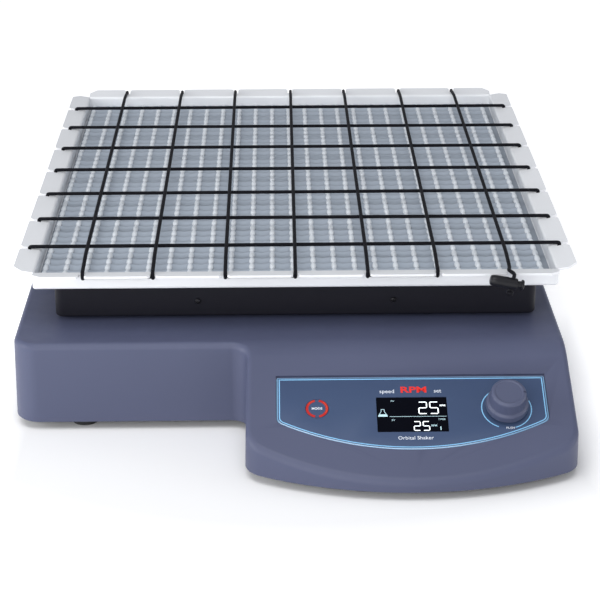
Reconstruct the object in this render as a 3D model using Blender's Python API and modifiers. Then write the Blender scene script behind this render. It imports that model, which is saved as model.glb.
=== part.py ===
"""Digital orbital platform shaker: a cord-laced tray on a sub-frame that orbits over a moulded housing."""

import math

import bmesh
import bpy
from mathutils import Matrix, Vector

for old in list(bpy.data.objects):
    bpy.data.objects.remove(old, do_unlink=True)

# ---------------------------------------------------------------- driving sizes, millimetres
MM = 0.001
SHIFT_Y = 63.0          # the tray centre stands this far behind the frame origin
ORBIT = 10.0            # crank radius: the tray moves on a 20 mm circle
ARM = (0.6, 0.8)        # unit direction of every crank arm at rest
AXIS_X, AXIS_Y = -ORBIT * ARM[0], -ORBIT * ARM[1]      # main shaft, from the tray centre

Z_HOUSING = 6.5         # lower edge of the moulded housing, feet below it
Z_DECK = 69.0
WALL = 3.0
HOUSE_X0, HOUSE_X1 = -207.6, 196.0
HOUSE_Y0, HOUSE_Y1 = -252.0, 236.0
CONSOLE_X0 = -36.0
CONSOLE_MID = 80.0
CONSOLE_R = 235.0
CONSOLE_FRONT = -363.9
CORNER = 18.0
INNER_FILLET = 12.0
DRAFT = 1.3
SLOPE = math.radians(26.0)
SLOPE_Y = -254.0

PAN_W, PAN_D = 360.4, 416.0
PAN_Z0, PAN_Z1 = 71.6, 100.0
PAN_WALL = 2.0
PIN_X, PIN_Y = 132.0, 160.0          # idler pins, from the tray centre

TRAY_W, TRAY_D = 387.0, 447.0        # outside of the tray walls
TRAY_Z0 = 100.3
SHEET = 1.8
FLANGE = 14.0
FLANGE_TILT = math.tan(math.radians(9.0))    # the flanges are folded a little above level
FLANGE_TOP = 114.0
PITCH_X, PITCH_Y = 52.0, 59.0        # cord spacing
NOTCH_W, NOTCH_L = 4.4, 9.0
CORD = 2.8
MAT_T = 4.6

PANEL_X0, PANEL_X1 = -15.0, 177.0
PANEL_TOP, PANEL_SIDE, PANEL_LOW = -31.0, -71.0, -95.5
RECESS = 1.6
LCD = (80.6, -64.9, 49.5, 30.2)
KNOB_AT = (147.5, -60.2)
MODE_AT = (13.6, -59.2)

scene = bpy.context.scene
scene.unit_settings.system = "METRIC"
scene.unit_settings.scale_length = 1.0
cutters = bpy.data.collections.new("cutters")
cutters.hide_render = True
scene.collection.children.link(cutters)


# ---------------------------------------------------------------- helpers
def material(name, colour, metal=0.0, rough=0.5, alpha=1.0, coat=0.0):
    made = bpy.data.materials.new(name)
    made.use_nodes = True
    shader = made.node_tree.nodes["Principled BSDF"]
    shader.inputs["Base Color"].default_value = (*colour, 1.0)
    shader.inputs["Metallic"].default_value = metal
    shader.inputs["Roughness"].default_value = rough
    shader.inputs["Alpha"].default_value = alpha
    shader.inputs["Coat Weight"].default_value = coat
    made.diffuse_color = (*colour, alpha)
    made.metallic = metal
    made.roughness = rough
    return made


HOUSING_GREY = (0.098, 0.105, 0.176)
BLACK_PAINT = (0.016, 0.016, 0.022)
WHITE_PAINT = (0.84, 0.85, 0.87)
STEEL = (0.55, 0.56, 0.58)
ALLOY = (0.68, 0.69, 0.71)
RUBBER = (0.02, 0.02, 0.021)


def place(bm, name, mat, at=(0, 0, 0), tilt=0.0, helper=False):
    """An object from a mesh drawn in millimetres about the point at."""
    bmesh.ops.remove_doubles(bm, verts=bm.verts, dist=1e-4)
    bmesh.ops.recalc_face_normals(bm, faces=bm.faces)
    bmesh.ops.scale(bm, vec=(MM, MM, MM), verts=bm.verts)
    mesh = bpy.data.meshes.new(name)
    bm.to_mesh(mesh)
    bm.free()
    made = bpy.data.objects.new(name, mesh)
    made.location = (at[0] * MM, (at[1] + SHIFT_Y) * MM, at[2] * MM)
    made.rotation_euler = tilt if isinstance(tilt, tuple) else (tilt, 0.0, 0.0)
    if helper:
        cutters.objects.link(made)
        made.hide_render = True
        made.display_type = "WIRE"
    else:
        scene.collection.objects.link(made)
        mesh.materials.append(mat)
    return made


def cut(target, cutter, name="cut"):
    modifier = target.modifiers.new(name, "BOOLEAN")
    modifier.operation = "DIFFERENCE"
    modifier.solver = "EXACT"
    modifier.object = cutter


def bevel(target, width, segments=2, angle=50.0):
    modifier = target.modifiers.new("edges", "BEVEL")
    modifier.width = width * MM
    modifier.segments = segments
    modifier.limit_method = "ANGLE"
    modifier.angle_limit = math.radians(angle)
    modifier.use_clamp_overlap = True


def loop_faces(bm, low, high):
    count = len(low)
    for i in range(count):
        j = (i + 1) % count
        bm.faces.new((low[i], low[j], high[j], high[i]))


def prism(bm, outline, z0, z1, lower=None):
    """A capped prism; lower is the bottom outline where the sides are drafted."""
    low = [bm.verts.new((x, y, z0)) for x, y in (lower or outline)]
    high = [bm.verts.new((x, y, z1)) for x, y in outline]
    loop_faces(bm, low, high)
    bm.faces.new(low[::-1])
    bm.faces.new(high)


def box(bm, x0, x1, y0, y1, z0, z1):
    prism(bm, [(x0, y0), (x1, y0), (x1, y1), (x0, y1)], z0, z1)


def ring_points(cx, cy, r, n, start=0.0):
    return [
        (cx + r * math.cos(start + math.tau * i / n), cy + r * math.sin(start + math.tau * i / n))
        for i in range(n)
    ]


def turned(bm, profile, cx=0.0, cy=0.0, n=24):
    """A solid of revolution about the upright line through cx, cy. profile is (radius, z) from bottom to top."""
    rings = []
    for r, z in profile:
        rings.append([bm.verts.new((x, y, z)) for x, y in ring_points(cx, cy, r, n)])
    for a, b in zip(rings, rings[1:]):
        loop_faces(bm, a, b)
    bm.faces.new(rings[0][::-1])
    bm.faces.new(rings[-1])


def tube_ring(bm, profile, cx=0.0, cy=0.0, n=24):
    """A ring of revolution: the profile is a closed (radius, z) loop that stays clear of the axis."""
    rings = []
    for r, z in profile:
        rings.append([bm.verts.new((x, y, z)) for x, y in ring_points(cx, cy, r, n)])
    for a, b in zip(rings, rings[1:] + rings[:1]):
        loop_faces(bm, a, b)


def rounded(points, steps=5):
    """A closed outline whose corner (x, y, r) is rounded to radius r."""
    out = []
    count = len(points)
    for i, (x, y, r) in enumerate(points):
        if r <= 0:
            out.append((x, y))
            continue
        here = Vector((x, y))
        before = (Vector(points[i - 1][:2]) - here).normalized()
        after = (Vector(points[(i + 1) % count][:2]) - here).normalized()
        half = before.angle(after) / 2
        centre = here + (before + after).normalized() * (r / math.sin(half))
        reach = r / math.tan(half)
        first = here + before * reach - centre
        last = here + after * reach - centre
        turn = first.angle_signed(last)
        for k in range(steps + 1):
            spoke = first.copy()
            spoke.rotate(Matrix.Rotation(-turn * k / steps, 2))
            out.append((centre.x + spoke.x, centre.y + spoke.y))
    return out


def rounded_box(x0, x1, y0, y1, r, steps=4):
    return rounded([(x0, y0, r), (x1, y0, r), (x1, y1, r), (x0, y1, r)], steps)


def offset(outline, distance):
    """The outline grown outwards by distance (counter-clockwise points)."""
    out = []
    count = len(outline)
    for i in range(count):
        a = Vector(outline[i - 1])
        b = Vector(outline[i])
        c = Vector(outline[(i + 1) % count])
        n1 = Vector(((b - a).y, -(b - a).x)).normalized()
        n2 = Vector(((c - b).y, -(c - b).x)).normalized()
        mid = (n1 + n2).normalized()
        out.append(tuple(b + mid * (distance / max(0.5, mid.dot(n1)))))
    return out


def slice_above(bm, point, normal):
    """Removes what lies beyond a plane and closes the cut."""
    found = bmesh.ops.bisect_plane(
        bm,
        geom=list(bm.verts) + list(bm.edges) + list(bm.faces),
        dist=1e-4,
        plane_co=point,
        plane_no=normal,
        clear_outer=True,
    )
    edges = [e for e in found["geom_cut"] if isinstance(e, bmesh.types.BMEdge)]
    bmesh.ops.edgenet_fill(bm, edges=edges)


def sweep(bm, path, r, n=8):
    """A round bar along a path of (point, radius share), with flat ends."""
    points = [Vector(p[:3]) for p in path]
    shares = [p[3] if len(p) > 3 else 1.0 for p in path]
    rings = []
    side = None
    for i, here in enumerate(points):
        if i == 0:
            along = points[1] - here
        elif i == len(points) - 1:
            along = here - points[i - 1]
        else:
            along = (points[i + 1] - here).normalized() + (here - points[i - 1]).normalized()
        along.normalize()
        if side is None:
            side = along.orthogonal().normalized()
        side = (side - along * side.dot(along)).normalized()
        other = along.cross(side)
        ring = []
        for k in range(n):
            a = math.tau * k / n
            ring.append(bm.verts.new(here + (side * math.cos(a) + other * math.sin(a)) * r * shares[i]))
        rings.append(ring)
    for a, b in zip(rings, rings[1:]):
        loop_faces(bm, a, b)
    bm.faces.new(rings[0][::-1])
    bm.faces.new(rings[-1])


# ---------------------------------------------------------------- the moulded housing
def housing_outline():
    arc_y = CONSOLE_FRONT + CONSOLE_R
    reach = CONSOLE_MID - CONSOLE_X0
    corner_y = arc_y - math.sqrt(CONSOLE_R**2 - reach**2)
    front = []
    for i in range(9):
        a = math.radians(-25.0 + 50.0 * i / 8)
        front.append((CONSOLE_MID + CONSOLE_R * math.sin(a), arc_y - CONSOLE_R * math.cos(a), 0))
    return rounded(
        [(CONSOLE_X0, corner_y, CORNER)]
        + front
        + [
            (HOUSE_X1, corner_y, CORNER),
            (HOUSE_X1, HOUSE_Y1, CORNER),
            (HOUSE_X0, HOUSE_Y1, CORNER),
            (HOUSE_X0, HOUSE_Y0, CORNER),
            (CONSOLE_X0, HOUSE_Y0, INNER_FILLET),
        ]
    )


def housing_block(inset, z_low, drop):
    """The housing's outer form, or with inset and drop its inside."""
    bm = bmesh.new()
    top = offset(housing_outline(), -inset)
    low = offset(housing_outline(), DRAFT * (Z_DECK - z_low) / (Z_DECK - Z_HOUSING) - inset)
    prism(bm, top, z_low, Z_DECK - drop, low)
    # a soft roll from the deck into the slope, then the slope itself
    for share in (1 / 3, 2 / 3, 1.0):
        angle = SLOPE * share
        back = 16.0 * (1.0 - share)
        rise = 16.0 * (1.0 - share) * math.tan(angle) * 0.5
        normal = (0.0, -math.sin(angle), math.cos(angle))
        point = (0.0, SLOPE_Y + back, Z_DECK - drop / math.cos(angle) + (rise if share < 1.0 else 0.0))
        slice_above(bm, point, normal)
    return bm


PANEL_ORIGIN = (0.0, SLOPE_Y, Z_DECK)


def panel_outline(grow=0.0):
    """The control panel's outline in the slope's own plane: x across, y up the slope."""
    mid = (PANEL_X0 + PANEL_X1) / 2
    half = (PANEL_X1 - PANEL_X0) / 2
    sag = PANEL_SIDE - PANEL_LOW
    r = (half**2 + sag**2) / (2 * sag)
    points = [(PANEL_X0, PANEL_TOP, 1.5), (PANEL_X0, PANEL_SIDE, 7.0)]
    top_angle = math.asin(half / r)
    for i in range(1, 10):
        a = -top_angle + 2 * top_angle * i / 10
        points.append((mid + r * math.sin(a), PANEL_LOW + r - r * math.cos(a), 0))
    points += [(PANEL_X1, PANEL_SIDE, 7.0), (PANEL_X1, PANEL_TOP, 1.5)]
    return offset(rounded(points, 4), grow)


top_housing = place(
    housing_block(0.0, -12.0, 0.0), "top_housing", material("housing_abs", HOUSING_GREY, 0.0, 0.42)
)
bevel(top_housing, 3.6, 3, 40.0)
bm = housing_block(WALL, -20.0, WALL)
cut(top_housing, place(bm, "cut_inside", None, helper=True), "inside")
bm = bmesh.new()
box(bm, -260, 260, -420, 300, -40, Z_HOUSING)
cut(top_housing, place(bm, "cut_bottom", None, helper=True), "bottom")

# panel recess with the openings behind it, drawn in the slope's own frame
bm = bmesh.new()
prism(bm, panel_outline(0.3), -RECESS, 9.0)
cut(top_housing, place(bm, "cut_panel", None, PANEL_ORIGIN, SLOPE, True), "panel")
bm = bmesh.new()
x, y, w, h = LCD
box(bm, x - w / 2 - 1.5, x + w / 2 + 1.5, y - h / 2 - 1.5, y + h / 2 + 1.5, -9, 0.5)
prism(bm, ring_points(*KNOB_AT, 6.2, 20), -9, 0.5)
prism(bm, ring_points(*MODE_AT, 9.0, 24), -9, 0.5)
cut(top_housing, place(bm, "cut_openings", None, PANEL_ORIGIN, SLOPE, True), "openings")

# shaft holes in the deck, and the rear openings
IDLERS = [(sx * PIN_X + AXIS_X, sy * PIN_Y + AXIS_Y) for sx, sy in ((-1, -1), (1, -1), (1, 1), (-1, 1))]
bm = bmesh.new()
prism(bm, ring_points(AXIS_X, AXIS_Y, 11.0, 24), 60, 80)
for cx, cy in IDLERS:
    prism(bm, ring_points(cx, cy, 8.5, 20), 60, 80)
INLET = (128.0, 38.0)
ROCKER = (84.0, 38.0)
box(bm, INLET[0] - 14.3, INLET[0] + 14.3, HOUSE_Y1 - 8, HOUSE_Y1 + 6, INLET[1] - 10.8, INLET[1] + 10.8)
box(bm, ROCKER[0] - 10.3, ROCKER[0] + 10.3, HOUSE_Y1 - 8, HOUSE_Y1 + 6, ROCKER[1] - 7.3, ROCKER[1] + 7.3)
cut(top_housing, place(bm, "cut_holes", None, helper=True), "holes")

# base plate, closing the housing from below
bm = bmesh.new()
prism(bm, offset(housing_outline(), -WALL - 0.5), 7.2, 9.2)
base_plate = place(bm, "base_plate", material("base_steel_black", BLACK_PAINT, 0.5, 0.5))

# rubber feet
foot_rubber = material("foot_rubber", RUBBER, 0.0, 0.75)
for n, (cx, cy) in enumerate(
    ((-158.0, -236.0), (2.0, -320.0), (158.0, -322.0), (168.0, 206.0), (-180.0, 206.0)), 1
):
    bm = bmesh.new()
    turned(bm, [(9.5, 0.0), (10.5, 1.0), (12.0, 6.9)], cx, cy, 16)
    place(bm, f"foot_{n}", foot_rubber)

# ---------------------------------------------------------------- chassis and drive
plate_zinc = material("zinc_plate", STEEL, 0.9, 0.38)
bm = bmesh.new()
prism(bm, rounded_box(-186, 174, -214, 212, 8), 9.6, 12.6)
chassis_plate = place(bm, "chassis_plate", plate_zinc)

bearing_alloy = material("bearing_alloy", ALLOY, 0.9, 0.33)
bm = bmesh.new()
tube_ring(
    bm,
    [(9.3, 13.0), (34.0, 13.0), (34.0, 17.0), (24.0, 19.0), (24.0, 38.0), (9.3, 38.0)],
    AXIS_X,
    AXIS_Y,
    24,
)
main_bearing_housing = place(bm, "main_bearing_housing", bearing_alloy)

for n, (cx, cy) in enumerate(IDLERS, 1):
    bm = bmesh.new()
    tube_ring(
        bm,
        [(6.3, 13.0), (20.0, 13.0), (20.0, 16.0), (14.0, 18.0), (13.0, 64.5), (6.3, 64.5)],
        cx,
        cy,
        14,
    )
    place(bm, f"idler_bearing_housing_{n}", bearing_alloy)

MOTOR = (92.0, -92.0)
PULLEY_R, MOTOR_PULLEY_R = 60.0, 12.0
BELT_Z0, BELT_Z1 = 43.5, 53.5
bm = bmesh.new()
prism(bm, rounded_box(MOTOR[0] - 42, MOTOR[0] + 42, MOTOR[1] - 34, MOTOR[1] + 34, 6), 12.9, 15.5)
motor_bracket = place(bm, "motor_bracket", plate_zinc)
bm = bmesh.new()
tube_ring(
    bm,
    [(5.3, 15.8), (31.0, 15.8), (32.5, 17.3), (32.5, 33.5), (31.0, 35.0), (12.0, 35.0), (12.0, 37.5), (5.3, 37.5)],
    *MOTOR,
    20,
)
motor_body = place(bm, "motor_body", material("motor_casting", (0.12, 0.12, 0.13), 0.6, 0.45))

bm = bmesh.new()
turned(bm, [(5.0, 16.5), (5.0, 41.0), (4.0, 41.5), (4.0, 56.0)], *MOTOR, 12)
motor_shaft = place(bm, "motor_shaft", material("ground_steel", STEEL, 1.0, 0.22))
bm = bmesh.new()
tube_ring(
    bm,
    [
        (4.2, 42.0), (13.6, 42.0), (13.6, 43.2), (MOTOR_PULLEY_R, 43.2),
        (MOTOR_PULLEY_R, 53.8), (13.6, 53.8), (13.6, 55.0), (4.2, 55.0),
    ],
    *MOTOR,
    16,
)
pulley_alloy = material("pulley_alloy", (0.60, 0.61, 0.63), 0.9, 0.4)
motor_pulley = place(bm, "motor_pulley", pulley_alloy)

bm = bmesh.new()
tube_ring(
    bm,
    [
        (9.3, 42.0), (61.6, 42.0), (61.6, 43.2), (PULLEY_R, 43.2), (PULLEY_R, 53.8), (61.6, 53.8),
        (61.6, 55.0), (54.0, 55.0), (54.0, 51.0), (20.0, 51.0), (20.0, 55.0), (9.3, 55.0),
    ],
    AXIS_X,
    AXIS_Y,
    30,
)
large_pulley = place(bm, "large_pulley", pulley_alloy)


def belt_loop(extra):
    """The flat belt's path round both pulleys, at a distance extra over their rims."""
    big, small = Vector((AXIS_X, AXIS_Y)), Vector(MOTOR)
    along = small - big
    gap = along.length
    heading = math.atan2(along.y, along.x)
    wrap = math.acos((PULLEY_R - MOTOR_PULLEY_R) / gap)
    points = []
    for k in range(25):
        a = heading + wrap + (math.tau - 2 * wrap) * k / 24
        points.append(tuple(big + Vector((math.cos(a), math.sin(a))) * (PULLEY_R + extra)))
    for k in range(11):
        a = heading - wrap + 2 * wrap * k / 10
        points.append(tuple(small + Vector((math.cos(a), math.sin(a))) * (MOTOR_PULLEY_R + extra)))
    return points


bm = bmesh.new()
inner, outer = belt_loop(0.55), belt_loop(1.9)
rings = [
    [bm.verts.new((x, y, z)) for x, y in loop]
    for loop, z in ((inner, BELT_Z0), (outer, BELT_Z0), (outer, BELT_Z1), (inner, BELT_Z1))
]
for a, b in zip(rings, rings[1:] + rings[:1]):
    loop_faces(bm, a, b)
drive_belt = place(bm, "drive_belt", material("belt_rubber", RUBBER, 0.0, 0.6))

# main shaft with its crank web and pin, one turned and milled piece
crank_steel = material("crank_steel", STEEL, 1.0, 0.28)


def crank(name, cx, cy, shaft_r, pin_r, low, web, pin_top, at_z):
    """A shaft from low up to a web, and a pin one orbit radius away above it."""
    bm = bmesh.new()
    px, py = ORBIT * ARM[0], ORBIT * ARM[1]
    turned(bm, [(shaft_r, low), (shaft_r, web[0] - 1.0)], 0, 0, 14)
    shaft = place(bm, name, crank_steel, (cx, cy, at_z))
    bm = bmesh.new()
    spread = math.atan2(py, px)
    hull = []
    r1, r2 = shaft_r + 4.0, pin_r + 4.0
    lean = math.acos((r1 - r2) / ORBIT)
    for k in range(11):
        a = spread + lean + (math.tau - 2 * lean) * k / 10
        hull.append((r1 * math.cos(a), r1 * math.sin(a)))
    for k in range(9):
        a = spread - lean + 2 * lean * k / 8
        hull.append((px + r2 * math.cos(a), py + r2 * math.sin(a)))
    prism(bm, hull, web[0] - 1.2, web[1])
    join = shaft.modifiers.new("web", "BOOLEAN")
    join.operation = "UNION"
    join.solver = "EXACT"
    join.object = place(bm, name + "_web", None, (cx, cy, at_z), helper=True)
    bm = bmesh.new()
    turned(bm, [(pin_r, web[1] - 1.0), (pin_r, pin_top - 0.6), (pin_r - 0.6, pin_top)], px, py, 14)
    join = shaft.modifiers.new("pin", "BOOLEAN")
    join.operation = "UNION"
    join.solver = "EXACT"
    join.object = place(bm, name + "_pin", None, (cx, cy, at_z), helper=True)
    return shaft


main_shaft = crank("main_shaft", AXIS_X, AXIS_Y, 9.0, 7.0, 13.5, (74.6, 80.0), 93.0, 0.0)
for n, (cx, cy) in enumerate(IDLERS, 1):
    crank(f"idler_crank_{n}", cx, cy, 6.0, 5.0, 16.0, (75.2, 80.0), 92.0, 0.0)

# counterweight, a sector clamped under the web on the side away from the pin
bm = bmesh.new()
away = math.atan2(-ARM[1], -ARM[0])
sector = []
for k in range(17):
    a = away - math.radians(75) + math.radians(150) * k / 16
    sector.append((62 * math.cos(a), 62 * math.sin(a)))
for k in range(13):
    a = away + math.radians(75) - math.radians(150) * k / 12
    sector.append((13.6 * math.cos(a), 13.6 * math.sin(a)))
prism(bm, sector, 75.2, 80.0)
counterweight = place(bm, "counterweight", plate_zinc, (AXIS_X, AXIS_Y, 0))

# ---------------------------------------------------------------- electronics
pcb_green = material("pcb_green", (0.02, 0.12, 0.05), 0.0, 0.45)
bm = bmesh.new()
box(bm, -6, 168, -88, -42, -20.6, -19.0)
control_board = place(bm, "control_board", pcb_green, PANEL_ORIGIN, SLOPE)
bm = bmesh.new()
x, y, w, h = LCD
box(bm, x - w / 2 - 5, x + w / 2 + 5, y - h / 2 - 5, y + h / 2 + 5, -10.5, -4.2)
display_module = place(
    bm, "display_module", material("display_black", (0.012, 0.013, 0.018), 0.0, 0.3), PANEL_ORIGIN, SLOPE
)
bm = bmesh.new()
box(bm, x - w / 2, x + w / 2, y - h / 2, y + h / 2, -3.9, -0.35)
display_window = place(
    bm, "display_window", material("display_glass", (0.004, 0.005, 0.009), 0.0, 0.08, 1.0, 0.6),
    PANEL_ORIGIN, SLOPE,
)
bm = bmesh.new()
prism(bm, panel_outline(0.0), -RECESS + 0.3, -0.3)
panel_overlay = place(
    bm, "panel_overlay", material("overlay_blue", (0.075, 0.106, 0.2), 0.0, 0.28, 1.0, 0.4), PANEL_ORIGIN, SLOPE
)
bm = bmesh.new()
box(bm, x - w / 2 - 0.3, x + w / 2 + 0.3, y - h / 2 - 0.3, y + h / 2 + 0.3, -4, 2)
prism(bm, ring_points(*KNOB_AT, 5.0, 20), -4, 2)
prism(bm, ring_points(*MODE_AT, 8.3, 24), -4, 2)
cut(panel_overlay, place(bm, "cut_overlay", None, PANEL_ORIGIN, SLOPE, True), "openings")


def on_panel(point, height):
    """A point of the slope's own frame, in the part's frame."""
    u, v = point
    return (
        u,
        SLOPE_Y + v * math.cos(SLOPE) - height * math.sin(SLOPE),
        Z_DECK + v * math.sin(SLOPE) + height * math.cos(SLOPE),
    )


black_plastic = material("black_plastic", (0.018, 0.018, 0.02), 0.0, 0.4)
bm = bmesh.new()
tube_ring(bm, [(3.6, -18.7), (8.0, -18.7), (8.0, -9.5), (5.6, -9.5), (5.6, -4.2), (3.6, -4.2)], n=20)
encoder_body = place(bm, "encoder_body", plate_zinc, on_panel(KNOB_AT, 0), SLOPE)
bm = bmesh.new()
turned(bm, [(3.2, -17.0), (3.2, -5.0), (3.0, -3.4)], n=16)
encoder_plunger = place(bm, "encoder_plunger", crank_steel, on_panel(KNOB_AT, 0), SLOPE)
bm = bmesh.new()
turned(
    bm,
    [
        (2.9, -3.0), (2.9, 1.9), (14.6, 1.9), (15.0, 2.4), (15.0, 6.4), (14.5, 7.4), (13.3, 8.2),
        (12.9, 9.2), (12.5, 16.6), (11.8, 18.0), (10.2, 18.6),
    ],
    n=32,
)
knob = place(bm, "knob", material("knob_plastic", (0.11, 0.118, 0.19), 0.0, 0.36), on_panel(KNOB_AT, 0), SLOPE)
bm = bmesh.new()
box(bm, 8.0, 14.0, -0.55, 0.55, 15.9, 18.0)
cut(knob, place(bm, "cut_pointer", None, on_panel(KNOB_AT, 0), SLOPE, True), "pointer")

bm = bmesh.new()
box(bm, -6.0, 6.0, -6.0, 6.0, -18.7, -6.4)
mode_switch_body = place(bm, "mode_switch_body", black_plastic, on_panel(MODE_AT, 0), SLOPE)
bm = bmesh.new()
turned(bm, [(3.0, -5.6), (3.0, -2.4), (8.0, -2.2), (8.0, -0.2), (7.6, 0.1)], n=24)
mode_button = place(
    bm, "mode_button", material("button_blue", (0.075, 0.106, 0.2), 0.0, 0.28), on_panel(MODE_AT, 0), SLOPE
)

bm = bmesh.new()
box(bm, -112, -6, 96, 196, 12.9, 48)
power_supply = place(bm, "power_supply", plate_zinc)
bevel(power_supply, 1.0, 1)

# ---------------------------------------------------------------- rear connectors
wall_y = HOUSE_Y1
bm = bmesh.new()
box(bm, INLET[0] - 17, INLET[0] + 17, wall_y + 1.6, wall_y + 3.2, INLET[1] - 13, INLET[1] + 13)
power_inlet = place(bm, "power_inlet", black_plastic)
bm = bmesh.new()
box(bm, INLET[0] - 13.7, INLET[0] + 13.7, wall_y - 20, wall_y + 2.0, INLET[1] - 10.2, INLET[1] + 10.2)
join = power_inlet.modifiers.new("body", "BOOLEAN")
join.operation = "UNION"
join.solver = "EXACT"
join.object = place(bm, "inlet_body", None, helper=True)
bm = bmesh.new()
prism(
    bm,
    [(-11.5, -7.8), (11.5, -7.8), (11.5, 4.0), (7.5, 7.8), (-7.5, 7.8), (-11.5, 4.0)],
    -15.0,
    8.0,
)
bmesh.ops.rotate(bm, verts=bm.verts, cent=(0, 0, 0), matrix=Matrix.Rotation(math.radians(-90), 3, "X"))
cut(power_inlet, place(bm, "cut_inlet", None, (INLET[0], wall_y, INLET[1]), 0.0, True), "socket")
bm = bmesh.new()
for px, pz in ((-7.0, -1.2), (0.0, 2.8), (7.0, -1.2)):
    box(
        bm, INLET[0] + px - 1.0, INLET[0] + px + 1.0, wall_y - 16, wall_y - 1,
        INLET[1] + pz - 1.8, INLET[1] + pz + 1.8,
    )
join = power_inlet.modifiers.new("pins", "BOOLEAN")
join.operation = "UNION"
join.solver = "EXACT"
join.object = place(bm, "inlet_pins", None, helper=True)

bm = bmesh.new()
box(bm, ROCKER[0] - 12.5, ROCKER[0] + 12.5, wall_y + 1.6, wall_y + 3.2, ROCKER[1] - 9.5, ROCKER[1] + 9.5)
rocker_frame = place(bm, "rocker_frame", black_plastic)
bm = bmesh.new()
box(bm, ROCKER[0] - 9.8, ROCKER[0] + 9.8, wall_y - 14, wall_y + 2.0, ROCKER[1] - 6.8, ROCKER[1] + 6.8)
join = rocker_frame.modifiers.new("body", "BOOLEAN")
join.operation = "UNION"
join.solver = "EXACT"
join.object = place(bm, "rocker_body", None, helper=True)
bm = bmesh.new()
box(bm, ROCKER[0] - 8.8, ROCKER[0] + 8.8, wall_y - 10, wall_y + 6.0, ROCKER[1] - 5.6, ROCKER[1] + 5.6)
cut(rocker_frame, place(bm, "cut_rocker", None, helper=True), "well")
bm = bmesh.new()
# the rocker turns about an upright line through its back; its face is a shallow V
prism(
    bm,
    [(-8.2, -0.6), (-2.0, -5.0), (2.0, -5.0), (8.2, -0.6), (8.0, 2.9), (0.0, 1.6), (-8.0, 0.5)],
    -5.2,
    5.2,
)
power_rocker = place(
    bm, "power_rocker", material("rocker_red", (0.35, 0.02, 0.02), 0.0, 0.35), (ROCKER[0], wall_y, ROCKER[1])
)

# ---------------------------------------------------------------- orbiting platform
black_steel = material("black_powder_coat", BLACK_PAINT, 0.3, 0.5)
bm = bmesh.new()
prism(bm, rounded_box(-PAN_W / 2, PAN_W / 2, -PAN_D / 2, PAN_D / 2, 6.5), PAN_Z0, PAN_Z1)
platform_subframe = place(bm, "platform_subframe", black_steel)
bevel(platform_subframe, 1.2, 1, 60.0)
bm = bmesh.new()
w, d = PAN_W / 2 - PAN_WALL, PAN_D / 2 - PAN_WALL
prism(bm, rounded_box(-w, w, -d, d, 4.5), PAN_Z0 + 2.0, PAN_Z1 - PAN_WALL)
cut(platform_subframe, place(bm, "cut_pan", None, helper=True), "hollow")
bm = bmesh.new()
w, d = PAN_W / 2 - 9.0, PAN_D / 2 - 9.0
prism(bm, rounded_box(-w, w, -d, d, 3.0), PAN_Z0 - 6.0, PAN_Z0 + 4.0)
cut(platform_subframe, place(bm, "cut_lip", None, helper=True), "lip")

TRAY_SCREWS = ((-150.0, -190.0), (150.0, -190.0), (150.0, 190.0), (-150.0, 190.0))
bm = bmesh.new()
for cx, cy in TRAY_SCREWS:
    prism(bm, ring_points(cx, cy, 2.5, 10), PAN_Z1 - 6, PAN_Z1 + 4)
cut(platform_subframe, place(bm, "cut_screws", None, helper=True), "screws")
SKIRT_SCREW_X = (-73.0, 73.0)
SKIRT_Z = 84.0
bm = bmesh.new()
for cx in SKIRT_SCREW_X:
    prism(bm, ring_points(cx, 0, 1.5, 10), PAN_D / 2 - 6, PAN_D / 2 + 6)
    prism(bm, ring_points(cx, 0, 1.5, 10), -PAN_D / 2 - 6, -PAN_D / 2 + 6)
bmesh.ops.rotate(bm, verts=bm.verts, cent=(0, 0, 0), matrix=Matrix.Rotation(math.radians(-90), 3, "X"))
cut(platform_subframe, place(bm, "cut_skirt_holes", None, (0, 0, SKIRT_Z), 0.0, True), "skirt_holes")

# carrier plate, with a lug behind each skirt screw
bm = bmesh.new()
prism(bm, rounded_box(-166, 166, -196, 196, 6), 93.6, 97.6)
carrier_plate = place(bm, "carrier_plate", plate_zinc)
bm = bmesh.new()
for cx in SKIRT_SCREW_X:
    for side in (-1, 1):
        y0, y1 = sorted((side * 195.0, side * 205.4))
        box(bm, cx - 9, cx + 9, y0, y1, 78.5, 97.3)
        box(bm, cx - 9, cx + 9, min(side * 190, y0), max(side * 190, y1), 93.9, 97.3)
join = carrier_plate.modifiers.new("lugs", "BOOLEAN")
join.operation = "UNION"
join.solver = "EXACT"
join.use_self = True
join.object = place(bm, "carrier_lugs", None, helper=True)
bm = bmesh.new()
for cx in SKIRT_SCREW_X:
    prism(bm, ring_points(cx, 0, 1.5, 10), 199.0, 216.0)
    prism(bm, ring_points(cx, 0, 1.5, 10), -216.0, -199.0)
bmesh.ops.rotate(bm, verts=bm.verts, cent=(0, 0, 0), matrix=Matrix.Rotation(math.radians(-90), 3, "X"))
cut(carrier_plate, place(bm, "cut_lug_holes", None, (0, 0, SKIRT_Z), 0.0, True), "lug_holes")
bm = bmesh.new()
for cx, cy in TRAY_SCREWS:
    prism(bm, ring_points(cx, cy, 2.5, 10), 90, 104)
cut(carrier_plate, place(bm, "cut_carrier_screws", None, helper=True), "screws")

bm = bmesh.new()
tube_ring(bm, [(7.3, 81.0), (27.0, 81.0), (30.0, 84.0), (30.0, 93.3), (7.3, 93.3)], 0, 0, 24)
hub_bearing_block = place(bm, "hub_bearing_block", bearing_alloy)
PINS = [(sx * PIN_X, sy * PIN_Y) for sx, sy in ((-1, -1), (1, -1), (1, 1), (-1, 1))]
for n, (cx, cy) in enumerate(PINS, 1):
    bm = bmesh.new()
    tube_ring(bm, [(5.3, 81.0), (14.0, 81.0), (16.0, 83.0), (16.0, 93.3), (5.3, 93.3)], cx, cy, 14)
    place(bm, f"idler_bearing_block_{n}", bearing_alloy)

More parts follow.
